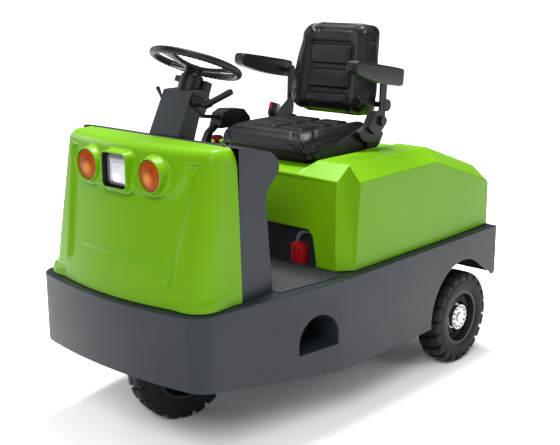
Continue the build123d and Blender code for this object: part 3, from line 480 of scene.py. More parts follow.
def makeOptic():
    # clear headlamp glass over its reflector: silver with soft flutes, a painted highlight low in the middle, and a
    # painted glow from that spot given as emission
    mat = bpy.data.materials.new("headlampOptic")
    mat.use_nodes = True
    tree = mat.node_tree
    shader = tree.nodes["Principled BSDF"]
    coord = tree.nodes.new("ShaderNodeTexCoord")
    place = tree.nodes.new("ShaderNodeMapping")
    place.inputs["Location"].default_value = (0.004, 0.0, -1.006)
    tree.links.new(coord.outputs["Object"], place.inputs["Vector"])
    flat = tree.nodes.new("ShaderNodeVectorMath")
    flat.operation = "MULTIPLY"
    flat.inputs[1].default_value = (1.0, 0.0, 1.15)
    tree.links.new(place.outputs[0], flat.inputs[0])
    reach = tree.nodes.new("ShaderNodeVectorMath")
    reach.operation = "LENGTH"
    tree.links.new(flat.outputs[0], reach.inputs[0])
    # painted highlight: white low in the middle of the reflector
    paintedHighlight = mapRange(tree, reach.outputs["Value"], 0.006, 0.024, 1.0, 0.0, True)
    flutes = tree.nodes.new("ShaderNodeTexWave")
    flutes.bands_direction = "Z"
    flutes.inputs["Scale"].default_value = 36.0
    flutes.inputs["Distortion"].default_value = 1.2
    tree.links.new(coord.outputs["Object"], flutes.inputs["Vector"])
    base = mixColor(tree, flutes.outputs["Fac"], (0.46, 0.46, 0.50, 1.0), (0.54, 0.54, 0.58, 1.0))
    color = mixColor(tree, paintedHighlight, base, (1.0, 1.0, 1.0, 1.0))
    tree.links.new(color, shader.inputs["Base Color"])
    shader.inputs["Roughness"].default_value = 0.16
    shader.inputs["Metallic"].default_value = 0.35
    shader.inputs["Coat Weight"].default_value = 1.0
    shader.inputs["Coat Roughness"].default_value = 0.03
    # painted glow: the highlight also shines as emission
    paintedLight = mathNode(tree, "MULTIPLY", paintedHighlight, 0.35)
    lit = mixColor(tree, paintedLight, (0.0, 0.0, 0.0, 1.0), (1.0, 1.0, 1.0, 1.0))
    tree.links.new(lit, shader.inputs["Emission Color"])
    shader.inputs["Emission Strength"].default_value = 1.0
    return mat


materials = {name: makeFinish(name) for name in finishes}
materials["blackVinyl"] = makeVinyl()
materials["amberLens"] = makeAmber()
materials["clearLens"] = makeLens("clearLens", (0.52, 0.54, 0.57), (0.86, 0.88, 0.9), 220.0)
materials["headlampOptic"] = makeOptic()
materials["redLens"] = makeLens("redLens", (0.35, 0.006, 0.008), (0.6, 0.02, 0.02), 240.0)
print("finishes ready:", len(materials))

slotFinish = {
    "graphite_paint": "graphitePaint", "green_paint": "greenPaint", "black_steel": "blackSteel",
    "tyre_rubber": "tyreRubber", "mat_rubber": "matRubber", "seal_rubber": "sealRubber",
    "bare_steel": "bareSteel", "cast_iron": "castIron", "black_plastic": "blackPlastic",
    "black_vinyl": "blackVinyl", "amber_lens": "amberLens", "clear_lens": "clearLens",
    "red_lens": "redLens", "red_plastic": "redPlastic", "battery_case": "batteryCase",
}
nodeSlot = {part["node"]: part["material_slot"] for part in frame["record"]["subparts"]}


# mesh helpers

def addMesh(name, vertices, faces):
    mesh = bpy.data.meshes.new(name)
    mesh.from_pydata([tuple(v) for v in vertices], [], [tuple(f) for f in faces])
    mesh.update()
    obj = bpy.data.objects.new(name, mesh)
    bpy.context.scene.collection.objects.link(obj)
    return obj


def addMeshFromBmesh(name, bm):
    mesh = bpy.data.meshes.new(name)
    bm.to_mesh(mesh)
    bm.free()
    obj = bpy.data.objects.new(name, mesh)
    bpy.context.scene.collection.objects.link(obj)
    return obj


def applyModifiers(obj):
    graph = bpy.context.evaluated_depsgraph_get()
    graph.update()
    mesh = bpy.data.meshes.new_from_object(obj.evaluated_get(graph), depsgraph=graph)
    obj.modifiers.clear()
    old = obj.data
    obj.data = mesh
    mesh.name = obj.name
    if old.users == 0:
        bpy.data.meshes.remove(old)
    return obj


def addBevel(obj, width, segments=3, angle=30.0):
    mod = obj.modifiers.new("bevel", "BEVEL")
    mod.width = width
    mod.segments = segments
    mod.limit_method = "ANGLE"
    mod.angle_limit = radians(angle)
    mod.harden_normals = False
    mod.use_clamp_overlap = True
    return mod


def addWeightedNormals(obj):
    mod = obj.modifiers.new("normals", "WEIGHTED_NORMAL")
    mod.keep_sharp = True
    return mod


def smoothByAngle(obj, angle=35.0):
    mesh = obj.data
    mesh.polygons.foreach_set("use_smooth", [True] * len(mesh.polygons))
    mesh.set_sharp_from_angle(angle=radians(angle))


def finishPiece(obj, finish, body, slot, replaced=()):
    obj.data.materials.clear()
    obj.data.materials.append(materials[finish])
    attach(obj, body)
    if replaced:
        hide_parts(*replaced)
    return obj


def softened(node, bevel=0.0015, segments=2, angle=32.0, smooth=38.0, name=None):
    # a merged copy of a CAD node, with its edges rounded as pressed, cast or moulded edges are
    source = nodes[node]
    bm = bmesh.new()
    bm.from_mesh(source.data)
    bmesh.ops.remove_doubles(bm, verts=bm.verts, dist=1e-5)
    bmesh.ops.dissolve_limit(bm, angle_limit=radians(0.6), verts=bm.verts, edges=bm.edges)
    obj = addMeshFromBmesh(name or node + "_dressed", bm)
    smoothByAngle(obj, smooth)
    if bevel > 0:
        addBevel(obj, bevel, segments, angle)
    addWeightedNormals(obj)
    applyModifiers(obj)
    slot = nodeSlot[node]
    return finishPiece(obj, slotFinish[slot], source["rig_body"], slot, (node,))


# front hood: one moulded skin, swept round the plan outline, with a sunk field, lamp pods and low corner flares

hood = {
    "seamY": -0.714,
    "lowZ": 0.586,
    "topZ": 1.134,
    "halfLow": 0.435,
    "halfTop": 0.417,
    "frontLow": -0.966,
    "frontTop": -0.866,
    "taper": (0.008, 0.012),  # how much narrower the face is than the seam, low and high
    "arc": 1.300,
    "corner": (0.092, 0.046),
    "topRound": 0.036,
    "skin": 0.006,
    "topCorner": 0.046,
    "topCornerFrom": 1.03,
    "fieldDepth": 0.014,
    "fieldEdge": (0.013, 0.034),  # width of the slope into the field: above and below, and at its sides
    "field": [(0.300, 0.655), (0.262, 0.655), (0.225, 0.727), (0.0, 0.727)],
    "fieldTop": [(0.0, 0.972), (0.252, 0.972), (0.302, 1.088), (0.358, 1.088)],
    "flareRise": 0.015,
    "flareEdge": 0.010,
}

lamps = {
    "x": 0.173,
    "z": 1.034,
    "faceY": -0.904,
    "radius": 0.0568,
    "wall": 0.0060,
    "flare": 0.013,
    "square": (0.128, 0.124),
    "squareZ": 1.034,
    "squareFaceY": -0.918,
    "squareCorner": 0.017,
}


def arcY(x, radius, apex):
    return apex + radius - sqrt(max(radius * radius - x * x, 0.0))


def hoodRow(t, sideSteps, cornerSteps, frontSteps):
    # plan outline at height share t, from the left seam round the front to the right seam: points and outward normals
    def blend(a, b):
        return a + (b - a) * t
    rear = blend(hood["halfLow"], hood["halfTop"])
    front = rear - blend(*hood["taper"])
    apex = blend(hood["frontLow"], hood["frontTop"])
    radius = blend(*hood["corner"])
    seam = hood["seamY"]
    faceY = arcY(front, hood["arc"], apex)
    slope = (rear - front) / (seam - faceY)
    # the corner's centre lies a radius inside the side line and the front arc
    centreX = front - radius
    for _ in range(6):
        reach = hood["arc"] - radius
        centreY = apex + hood["arc"] - sqrt(reach * reach - centreX * centreX)
        centreX = front + slope * (centreY - faceY) - radius * sqrt(1 + slope * slope)
    sideAngle = atan2(-slope, 1.0)
    faceAngle = atan2(centreY - (apex + hood["arc"]), centreX)
    half = []
    start = Vector((centreX + radius * cos(sideAngle), centreY + radius * sin(sideAngle)))
    for i in range(sideSteps):
        s = i / sideSteps
        half.append((Vector((rear, seam)).lerp(start, s), Vector((cos(sideAngle), sin(sideAngle)))))
    for i in range(cornerSteps):
        angle = sideAngle + (faceAngle - sideAngle) * i / cornerSteps
        normal = Vector((cos(angle), sin(angle)))
        half.append((Vector((centreX, centreY)) + radius * normal, normal))
    last = faceAngle
    for i in range(frontSteps + 1):
        angle = last + (-pi / 2 - last) * i / frontSteps
        normal = Vector((cos(angle), sin(angle)))
        half.append((Vector((0.0, apex + hood["arc"])) + hood["arc"] * normal, normal))
    other = [(Vector((-p.x, p.y)), Vector((-n.x, n.y))) for p, n in reversed(half[:-1])]
    return half + other


def polygonDistance(points, x, z):
    # signed distance from (x, z) to a closed polygon, negative inside
    inside = np.zeros(x.shape, bool)
    best = np.full(x.shape, 1e9)
    count = len(points)
    for i in range(count):
        ax, az = points[i]
        bx, bz = points[(i + 1) % count]
        ex, ez = bx - ax, bz - az
        t = np.clip(((x - ax) * ex + (z - az) * ez) / (ex * ex + ez * ez), 0.0, 1.0)
        best = np.minimum(best, np.hypot(x - ax - t * ex, z - az - t * ez))
        crosses = (az > z) != (bz > z)
        span = ez if abs(ez) > 1e-9 else 1e-9
        inside ^= crosses & (x < ax + (z - az) / span * ex)
    return np.where(inside, -best, best)


def smoothStep(value, low, high):
    t = np.clip((value - low) / (high - low), 0.0, 1.0)
    return t * t * (3 - 2 * t)


def hoodField():
    low, top = hood["field"], hood["fieldTop"]
    right = list(reversed(low[:-1])) + list(reversed(top[1:]))
    left = [(-x, z) for x, z in reversed(right)]
    return right + left


def flareShape(share, z):
    # share runs 0 to 1 along the corner from the seam to the face; the crease dips at the corner
    swell = np.sin(np.pi * np.clip(share, 0.0, 1.0)) ** 1.4
    crease = 0.612 + 0.032 * (1.0 - np.clip(share, 0, 1)) ** 2 + 0.006 * np.clip(share, 0, 1) ** 2
    return hood["flareRise"] * swell * (1.0 - smoothStep(z, crease - hood["flareEdge"], crease))


def hoodDisplacement(points, normals, shares):
    x, z = points[:, 0], points[:, 2]
    facing = smoothStep(-normals[:, 1], 0.55, 0.85)
    distance = polygonDistance(hoodField(), x, z)
    narrow, wide = hood["fieldEdge"]
    edge = narrow + (wide - narrow) * smoothStep(np.abs(x), 0.255, 0.29) * (1.0 - smoothStep(z, 1.03, 1.07))
    sunk = hood["fieldDepth"] * (1.0 - smoothStep(distance, -edge, 0.0)) * facing
    return flareShape(shares, z) - sunk


def roundTopCorners(x, z):
    # lowers what lies near the two upper corners, so that they are round seen from the front
    radius, start = hood["topCorner"], hood["topCornerFrom"]
    reach = np.clip(np.abs(x) - (hood["halfTop"] - radius), 0.0, radius)
    crest = hood["topZ"] - radius + np.sqrt(radius * radius - reach * reach)
    share = np.clip((z - start) / (hood["topZ"] - start), 0.0, 1.0)
    return np.where(z > start, start + share * (crest - start), z)


def makeHoodSkin():
    sideSteps, cornerSteps, frontSteps, rows, roundRows = 14, 16, 84, 130, 10
    points, normals, shares = [], [], []
    columns = 2 * (sideSteps + cornerSteps + frontSteps) + 1
    roundR = hood["topRound"]
    wallTop = hood["topZ"] - roundR
    span = hood["topZ"] - hood["lowZ"]
    rings = []
    for j in range(rows + 1):
        z = hood["lowZ"] + (wallTop - hood["lowZ"]) * j / rows
        rings.append((z, 0.0, 0.0))
    for j in range(1, roundRows + 1):
        angle = pi / 2 * j / roundRows
        rings.append((wallTop + roundR * sin(angle), roundR * (1 - cos(angle)), angle))
    for z, inset, angle in rings:
        t = (z - hood["lowZ"]) / span
        row = hoodRow(t, sideSteps, cornerSteps, frontSteps)
        for i, (p, n) in enumerate(row):
            points.append((p.x - n.x * inset, p.y - n.y * inset, z))
            normals.append((n.x * cos(angle), n.y * cos(angle), sin(angle)))
            k = min(i, columns - 1 - i)
            shares.append((k - 4) / (sideSteps + cornerSteps + 12))
    points, normals = np.array(points), np.array(normals)
    shares = np.array(shares)
    inBand = (shares > 0) & (shares < 1)
    shares = np.where(inBand, shares, 0.0)
    points = points + normals * hoodDisplacement(points, normals, shares)[:, None]
    points[:, 1] = np.minimum(points[:, 1], hood["seamY"])
    points[:, 2] = roundTopCorners(points[:, 0], points[:, 2])
    faces = []
    for j in range(len(rings) - 1):
        for i in range(columns - 1):
            a = j * columns + i
            faces.append((a, a + columns, a + columns + 1, a + 1))
    return closeHoodTop(points, faces, columns)


def closeHoodTop(points, faces, columns):
    # a grid from the left rim across to the right one, bent down where the corners are round
    vertices = [tuple(p) for p in points]
    rim = points[-columns:]
    middle = columns // 2
    across = 40
    base = len(vertices)
    for i in range(middle):
        x, y, _ = rim[i]
        for j in range(1, across):
            gx = x * cos(pi * j / across)
            gz = float(roundTopCorners(np.array([gx]), np.array([hood["topZ"]]))[0])
            vertices.append((gx, y, gz))

    def at(i, j):
        first = len(points) - columns
        if i == middle:
            return first + middle
        return first + i if j == 0 else first + columns - 1 - i if j == across else base + i * (across - 1) + j - 1

    for i in range(middle):
        for j in range(across):
            loop = list(dict.fromkeys((at(i, j), at(i + 1, j), at(i + 1, j + 1), at(i, j + 1))))
            faces.append(tuple(loop))
    obj = addMesh("frontHood", vertices, faces)
    bm = bmesh.new()
    bm.from_mesh(obj.data)
    bmesh.ops.remove_doubles(bm, verts=bm.verts, dist=1e-6)
    bmesh.ops.recalc_face_normals(bm, faces=bm.faces)
    if sum((f.calc_center_median() - Vector((0, -0.7, 0.85))).dot(f.normal) * f.calc_area() for f in bm.faces) < 0:
        bmesh.ops.reverse_faces(bm, faces=bm.faces)
    bm.to_mesh(obj.data)
    bm.free()
    return obj


def hoodSurfaceY(x, z):
    t = (z - hood["lowZ"]) / (hood["topZ"] - hood["lowZ"])
    apex = hood["frontLow"] + (hood["frontTop"] - hood["frontLow"]) * t
    return arcY(x, hood["arc"], apex)


def podRing(name, outline, face):
    # a cup about a lamp: outline(grow) gives its plan points, grown outwards, in (x, z)
    wall, flare = lamps["wall"], lamps["flare"]
    rings = []
    for grow, y in ((0.0, face + 0.050), (0.0, face + 0.0030), (0.0010, face + 0.0009), (0.0030, face),
                    (wall - 0.0025, face), (wall - 0.0007, face + 0.0008), (wall, face + 0.0028)):
        rings.append([(x, y, z) for x, z in outline(grow)])
    for k in range(9):
        s = k / 8
        grow = wall + 0.0015 + flare * (1 - cos(s * pi / 2))
        ring = []
        for x, z in outline(grow):
            ground = hoodSurfaceY(x, z) - 0.0002
            depth = flare * 1.15 * (1 - sin(s * pi / 2))
            ring.append((x, max(min(ground - depth, ground), face + 0.0028 + 0.002 * s) if k else
                         max(ground - depth, face + 0.0040), z))
        rings.append(ring)
    count = len(rings[0])
    vertices = [p for ring in rings for p in ring]
    faces = []
    for j in range(len(rings) - 1):
        for i in range(count):
            a, b = j * count + i, j * count + (i + 1) % count
            faces.append((a, b, b + count, a + count))
    obj = addMesh(name, vertices, faces)
    bm = bmesh.new()
    bm.from_mesh(obj.data)
    bmesh.ops.recalc_face_normals(bm, faces=bm.faces)
    bm.to_mesh(obj.data)
    bm.free()
    return obj


def roundOutline(cx, cz, radius, steps=96):
    def outline(grow):
        return [(cx + (radius + grow) * cos(2 * pi * i / steps), cz + (radius + grow) * sin(2 * pi * i / steps))
                for i in range(steps)]
    return outline


def squareOutline(cx, cz, width, height, corner, steps=10):
    def outline(grow):
        points = []
        r = corner + grow
        for sx, sz, start in ((1, 1, 0), (-1, 1, 90), (-1, -1, 180), (1, -1, 270)):
            x, z = cx + sx * (width / 2 - corner), cz + sz * (height / 2 - corner)
            for i in range(steps + 1):
                angle = radians(start + 90 * i / steps)
                points.append((x + r * cos(angle), z + r * sin(angle)))
        return points
    return outline


def joinObjects(name, objects):
    bm = bmesh.new()
    for obj in objects:
        bm.from_mesh(obj.data)
    joined = addMeshFromBmesh(name, bm)
    for obj in objects:
        bpy.data.objects.remove(obj)
    return joined


def removeFacesNear(obj, tests):
    bm = bmesh.new()
    bm.from_mesh(obj.data)
    doomed = []
    for face in bm.faces:
        c = face.calc_center_median()
        if len(face.verts) < 10 and any(test(c) for test in tests):
            doomed.append(face)
    bmesh.ops.delete(bm, geom=doomed, context="FACES")
    bm.to_mesh(obj.data)
    bm.free()


def makeFrontHood():
    skin = makeHoodSkin()
    width, height = lamps["square"]
    reach = lamps["radius"] + 0.006
    tests = [
        lambda c: c.y < -0.8 and (abs(c.x) - lamps["x"]) ** 2 + (c.z - lamps["z"]) ** 2 < reach ** 2,
        lambda c: c.y < -0.8 and abs(c.x) < width / 2 + 0.004 and abs(c.z - lamps["squareZ"]) < height / 2 + 0.004,
    ]
    removeFacesNear(skin, tests)
    mod = skin.modifiers.new("wall", "SOLIDIFY")
    mod.thickness = hood["skin"]
    mod.offset = -1.0
    applyModifiers(skin)
    pods = [podRing(f"pod{side}", roundOutline(side * lamps["x"], lamps["z"], lamps["radius"]), lamps["faceY"])
            for side in (-1, 1)]
    pods.append(podRing("podSquare", squareOutline(0, lamps["squareZ"], width, height, lamps["squareCorner"]),
                        lamps["squareFaceY"]))
    obj = joinObjects("frontHood", [skin] + pods)
    smoothByAngle(obj, 50)
    finishPiece(obj, "greenPaint", "chassis", "green_paint", ("front_hood",))


makeFrontHood()
print("front hood ready")


# rear body: flat pressed facets with softly folded edges

rearBody = {
    "skin": 0.007,
    "fold": 0.015,
    "points": {  # left half: x, y, z
        "b0": (0, -0.200, 0.586), "b1": (0.345, -0.200, 0.586), "b2": (0.442, -0.200, 0.586),
        "b3": (0.492, -0.135, 0.586), "bs": (0.492, 0.497, 0.586), "b4": (0.482, 0.866, 0.586), "b5": (0, 0.866, 0.586),
        "m1": (0.345, -0.200, 0.600), "m2": (0.327, -0.200, 0.705), "m3": (0.303, -0.200, 0.732), "m0": (0, -0.200, 0.732),
        "f0": (0, -0.200, 0.945), "f1": (0.250, -0.200, 0.945), "f2": (0.440, -0.200, 0.865),
        "g": (0.430, -0.180, 0.935),
        "d0": (0, -0.165, 0.965), "d1": (0.250, -0.165, 0.965), "d2": (0.250, 0.517, 0.965), "d3": (0, 0.517, 0.965),
        "p1": (0.268, -0.104, 0.990), "p2": (0.268, 0.445, 0.990),
        "c1": (0.420, -0.092, 0.989), "c2": (0.415, 0.445, 0.990), "c3": (0.415, 0.835, 0.855),
        "s1": (0.492, -0.112, 0.930), "s2": (0.492, 0.410, 0.937), "s3": (0.482, 0.850, 0.792),
        "t0": (0, 0.835, 0.855), "t1": (0, 0.866, 0.800), "r1": (0.425, 0.866, 0.800), "r2": (0.482, 0.866, 0.780),
    },
    "faces": [
        ("b1", "b2", "f2", "g", "f1", "f0", "m0", "m3", "m2", "m1"),
        ("b2", "b3", "s1", "c1", "g", "f2"),
        ("f1", "g", "c1", "p1"),
        ("f0", "f1", "d1", "d0"),
        ("d1", "f1", "p1"),
        ("d0", "d1", "d2", "d3"),
        ("d1", "p1", "p2", "d2"),
        ("p1", "c1", "c2", "p2"),
        ("c1", "s1", "s2", "c2"),
        ("c2", "s2", "s3", "c3"),
        ("p2", "c2", "c3", "t0", "d3", "d2"),
        ("b3", "bs", "s2", "s1"),
        ("bs", "b4", "r2", "s3", "s2"),
        ("c3", "s3", "r2", "r1"),
        ("t0", "c3", "r1", "t1"),
        ("t1", "r1", "r2", "b4", "b5"),
    ],
}


def makeRearBody():
    bm = bmesh.new()
    for mirror in (1, -1):
        verts = {}
        for name, (x, y, z) in rearBody["points"].items():
            verts[name] = bm.verts.new((x * mirror, y, z))
        for names in rearBody["faces"]:
            loop = [verts[n] for n in names]
            bm.faces.new(loop if mirror > 0 else list(reversed(loop)))
    loose = [v for v in bm.verts if not v.link_faces]
    bmesh.ops.delete(bm, geom=loose, context="VERTS")
    bmesh.ops.remove_doubles(bm, verts=bm.verts, dist=1e-5)
    centre = [e for e in bm.edges if all(abs(v.co.x) < 1e-6 for v in e.verts) and len(e.link_faces) == 2]
    bmesh.ops.dissolve_edges(bm, edges=centre)
    obj = addMeshFromBmesh("rearBody", bm)
    smoothByAngle(obj, 3)
    addBevel(obj, rearBody["fold"], 5, 6)
    applyModifiers(obj)
    mod = obj.modifiers.new("wall", "SOLIDIFY")
    mod.thickness = rearBody["skin"]
    mod.offset = -1.0
    mod.use_quality_normals = True
    applyModifiers(obj)
    smoothByAngle(obj, 40)
    addBevel(obj, 0.0012, 2, 60)
    addWeightedNormals(obj)
    applyModifiers(obj)
    finishPiece(obj, "greenPaint", "rear_hood", "green_paint", ("rear_hood",))


makeRearBody()
print("rear body ready")


# dash cowl: dark moulding behind the hood

cowl = {
    "half": 0.425,
    "edgeRound": 0.036,
    "profile": [  # y, z from the seam over the nose to the deck
        (-0.713, 0.586), (-0.713, 1.134), (-0.690, 1.134), (-0.590, 1.112), (-0.548, 1.099), (-0.522, 1.079),
        (-0.509, 1.052), (-0.508, 1.032), (-0.521, 1.013), (-0.550, 0.988), (-0.570, 0.958), (-0.577, 0.925),
        (-0.575, 0.885), (-0.544, 0.586),
    ],
}


def cowlOutline():
    # the nose and the hollow below it are curves through the profile's points
    points = [Vector(p) for p in cowl["profile"]]
    out = points[:3]
    curved = points[2:]
    for i in range(len(curved) - 1):
        p0 = curved[max(i - 1, 0)]
        p1, p2 = curved[i], curved[i + 1]
        p3 = curved[min(i + 2, len(curved) - 1)]
        steps = 5 if i < len(curved) - 2 else 1
        for k in range(1, steps + 1):
            t = k / steps
            if steps == 1:
                out.append(p2)
                continue
            out.append(0.5 * ((2 * p1) + (p2 - p0) * t + (2 * p0 - 5 * p1 + 4 * p2 - p3) * t * t
                              + (3 * p1 - p0 - 3 * p2 + p3) * t * t * t))
    return out


def makeCowl():
    outline = cowlOutline()
    count = len(outline)
    half = cowl["half"]
    vertices = [(half, p.x, p.y) for p in outline] + [(-half, p.x, p.y) for p in outline]
    faces = [tuple(range(count)), tuple(reversed(range(count, 2 * count)))]
    for i in range(1, count - 1):
        faces.append((i + 1, i, i + count, i + 1 + count))
    obj = addMesh("dashCowl", vertices, faces)
    bm = bmesh.new()
    bm.from_mesh(obj.data)
    layer = bm.edges.layers.float.new("bevel_weight_edge")
    for edge in bm.edges:
        a, b = (v.index % count for v in edge.verts)
        same = (edge.verts[0].index < count) == (edge.verts[1].index < count)
        if same and min(a, b) >= 1 and abs(a - b) == 1:
            edge[layer] = 1.0
    bmesh.ops.recalc_face_normals(bm, faces=bm.faces)
    bm.to_mesh(obj.data)
    bm.free()
    mod = obj.modifiers.new("round", "BEVEL")
    mod.limit_method = "WEIGHT"
    mod.width = cowl["edgeRound"]
    mod.segments = 6
    applyModifiers(obj)
    smoothByAngle(obj, 40)
    addWeightedNormals(obj)
    applyModifiers(obj)
    finishPiece(obj, "graphitePaint", "chassis", "graphite_paint", ("dash_cowl",))


makeCowl()
print("dash cowl ready")


# pressed, cast and moulded pieces that keep their CAD form, with rounded edges

softEdges = {  # node: edge radius, segments
    "skirt": (0.0022, 3), "step_boxes": (0.0008, 1), "deck_plate": (0.001, 1), "chassis_frame": (0.003, 2),
    "steer_head": (0.002, 2), "steer_fork": (0.002, 2), "drive_axle": (0.003, 2), "traction_motor": (0.001, 1),
    "battery_tray": (0.0008, 1), "battery_block": (0.006, 3),
    "tow_coupler": (0.0025, 3), "column_cover": (0.004, 4), "column_rear": (0.004, 4), "column_collar": (0.002, 3),
    "pedals": (0.0015, 2), "hinge_fixed": (0.0008, 1), "hinge_moving": (0.0008, 1), "seat_base": (0.002, 2),
    "seat_pan": (0.004, 3), "back_shell": (0.002, 2), "recliner_left": (0.0015, 2), "recliner_right": (0.0015, 2),
    "side_console": (0.004, 3), "front_rim": (0.0015, 2),
    "rear_rim_left": (0.0015, 2), "rear_rim_right": (0.0015, 2), "rear_hub_left": (0.0012, 2),
    "rear_hub_right": (0.0012, 2), "tail_lamps": (0.002, 2),
}

for node, (width, segments) in softEdges.items():
    softened(node, width, segments)
print("softened pieces ready:", len(softEdges))


# tyres: a turned carcass and two staggered rings of shoulder lugs

tyre = {
    "lugs": 20,
    "lugDepth": 0.013,
    "lugShare": 0.78,  # of the pitch
    "skew": radians(5.0),
    "carcass": [  # x, radius from the bead over the sidewall to the tread's floor
        (0.044, 0.1195), (0.0475, 0.122), (0.0515, 0.128), (0.0545, 0.137), (0.0555, 0.146), (0.0553, 0.156),
        (0.0560, 0.1575), (0.0560, 0.161), (0.0550, 0.1625), (0.0535, 0.172), (0.0520, 0.1745), (0.0490, 0.183),
        (0.0440, 0.1905), (0.0300, 0.1945), (0.0, 0.1945),
    ],
    "lug": [  # x, radius of one lug's section, from the shoulder to the middle
        (0.0530, 0.1715), (0.0546, 0.1800), (0.0542, 0.1905), (0.0510, 0.1985), (0.0450, 0.2040), (0.0330, 0.2066),
        (0.0150, 0.2075), (0.0035, 0.2075), (0.0035, 0.1930), (0.0300, 0.1925), (0.0430, 0.1880),
    ],
    "segments": 120,
}


def latheX(name, profile, segments, close=False):
    # turns (x, radius) points about the X axis
    vertices, faces = [], []
    count = len(profile)
    for i in range(segments):
        angle = 2 * pi * i / segments
        for x, r in profile:
            vertices.append((x, r * cos(angle), r * sin(angle)))
    for i in range(segments):
        j = (i + 1) % segments
        for k in range(count - (0 if close else 1)):
            m = (k + 1) % count
            faces.append((i * count + k, j * count + k, j * count + m, i * count + m))
    obj = addMesh(name, vertices, faces)
    bm = bmesh.new()
    bm.from_mesh(obj.data)
    bmesh.ops.recalc_face_normals(bm, faces=bm.faces)
    bm.to_mesh(obj.data)
    bm.free()
    return obj


def makeLug():
    section = tyre["lug"]
    pitch = 2 * pi / tyre["lugs"]
    stations = 5
    vertices, faces = [], []
    count = len(section)
    for s in range(stations):
        base = (s / (stations - 1) - 0.5) * pitch * tyre["lugShare"]
        for x, r in section:
            lean = tyre["skew"] * (0.054 - x) / 0.054
            narrow = 1.0 - 0.10 * max(0.0, (r - 0.19) / 0.0175)
            angle = base * narrow + lean
            vertices.append((x, r * cos(angle), r * sin(angle)))
    for s in range(stations - 1):
        for k in range(count):
            a, b = s * count + k, s * count + (k + 1) % count
            faces.append((a, b, b + count, a + count))
    faces.append(tuple(range(count)))
    faces.append(tuple(reversed(range((stations - 1) * count, stations * count))))
    lug = addMesh("lugPattern", vertices, faces)
    bm = bmesh.new()
    bm.from_mesh(lug.data)
    bmesh.ops.recalc_face_normals(bm, faces=bm.faces)
    bm.to_mesh(lug.data)
    bm.free()
    addBevel(lug, 0.0016, 2, 40)
    applyModifiers(lug)
    lug.data.materials.append(materials["tyreRubber"])
    return lug


def ringTree():
    # copies of one object round the X axis, with an opposite ring turned by half a pitch
    tree = bpy.data.node_groups.new("staggeredRing", "GeometryNodeTree")
    for label, kind, way in (("Geometry", "NodeSocketGeometry", "INPUT"), ("Pattern", "NodeSocketObject", "INPUT"),
                             ("Count", "NodeSocketInt", "INPUT"), ("Finish", "NodeSocketMaterial", "INPUT"),
                             ("Geometry", "NodeSocketGeometry", "OUTPUT")):
        tree.interface.new_socket(label, in_out=way, socket_type=kind)
    new, link = tree.nodes.new, tree.links.new
    source, sink = new("NodeGroupInput"), new("NodeGroupOutput")
    info = new("GeometryNodeObjectInfo")
    link(source.outputs["Pattern"], info.inputs["Object"])
    points = new("GeometryNodeMeshLine")
    points.inputs["Offset"].default_value = (0, 0, 0)
    link(source.outputs["Count"], points.inputs["Count"])
    index = new("GeometryNodeInputIndex")
    step = new("ShaderNodeMath")
    step.operation = "DIVIDE"
    step.inputs[0].default_value = 2 * pi
    link(source.outputs["Count"], step.inputs[1])
    rings = []
    for shift, side in ((0.0, 1.0), (0.5, -1.0)):
        moved = new("ShaderNodeMath")
        moved.operation = "ADD"
        moved.inputs[1].default_value = shift
        link(index.outputs[0], moved.inputs[0])
        turn = new("ShaderNodeMath")
        turn.operation = "MULTIPLY"
        link(moved.outputs[0], turn.inputs[0])
        link(step.outputs[0], turn.inputs[1])
        vector = new("ShaderNodeCombineXYZ")
        link(turn.outputs[0], vector.inputs["X"])
        if side < 0:
            vector.inputs["Z"].default_value = 0.0
        place = new("GeometryNodeInstanceOnPoints")
        link(points.outputs["Mesh"], place.inputs["Points"])
        pattern = info.outputs["Geometry"]
        if side < 0:
            flip = new("GeometryNodeTransform")
            flip.inputs["Rotation"].default_value = (0, 0, pi)
            link(pattern, flip.inputs["Geometry"])
            pattern = flip.outputs[0]
        link(pattern, place.inputs["Instance"])
        link(vector.outputs[0], place.inputs["Rotation"])
        rings.append(place.outputs[0])
    join = new("GeometryNodeJoinGeometry")
    for ring in rings:
        link(ring, join.inputs[0])
    real = new("GeometryNodeRealizeInstances")
    link(join.outputs[0], real.inputs[0])
    both = new("GeometryNodeJoinGeometry")
    link(real.outputs[0], both.inputs[0])
    link(source.outputs["Geometry"], both.inputs[0])
    paint = new("GeometryNodeSetMaterial")
    link(both.outputs[0], paint.inputs["Geometry"])
    link(source.outputs["Finish"], paint.inputs["Material"])
    link(paint.outputs[0], sink.inputs[0])
    return tree


def applyTree(obj, tree, **values):
    mod = obj.modifiers.new("repeat", "NODES")
    mod.node_group = tree
    for item in tree.interface.items_tree:
        if item.in_out == "INPUT" and item.name.replace(" ", "") in values:
            mod[item.identifier] = values[item.name.replace(" ", "")]
    return applyModifiers(obj)


staggeredRing = ringTree()
lugPattern = makeLug()


def wheelPlace(node):
    # rear wheels roll straight ahead; the front one stands turned to the right
    if node.startswith("front"):
        turn = Matrix.Rotation(-wheels["restSteer"], 4, "Z")
        return Matrix.Translation((0, wheels["frontAxleY"], wheels["radius"])) @ turn
    side = 1 if node.endswith("left") else -1
    place = Matrix.Translation((side * wheels["rearX"], wheels["rearAxleY"], wheels["radius"]))
    return place if side > 0 else place @ Matrix.Rotation(pi, 4, "Z")


def makeTyre(node, body):
    half = tyre["carcass"]
    profile = half + [(-x, r) for x, r in reversed(half[:-1])]
    profile += [(-0.044, 0.1183), (0.044, 0.1183)]
    obj = latheX(node + "_dressed", profile, tyre["segments"], close=True)
    smoothByAngle(obj, 35)
    applyTree(obj, staggeredRing, Pattern=lugPattern, Count=tyre["lugs"], Finish=materials["tyreRubber"])
    smoothByAngle(obj, 35)
    addWeightedNormals(obj)
    applyModifiers(obj)
    obj.data.transform(wheelPlace(node))
    finishPiece(obj, "tyreRubber", body, "tyre_rubber", (node,))


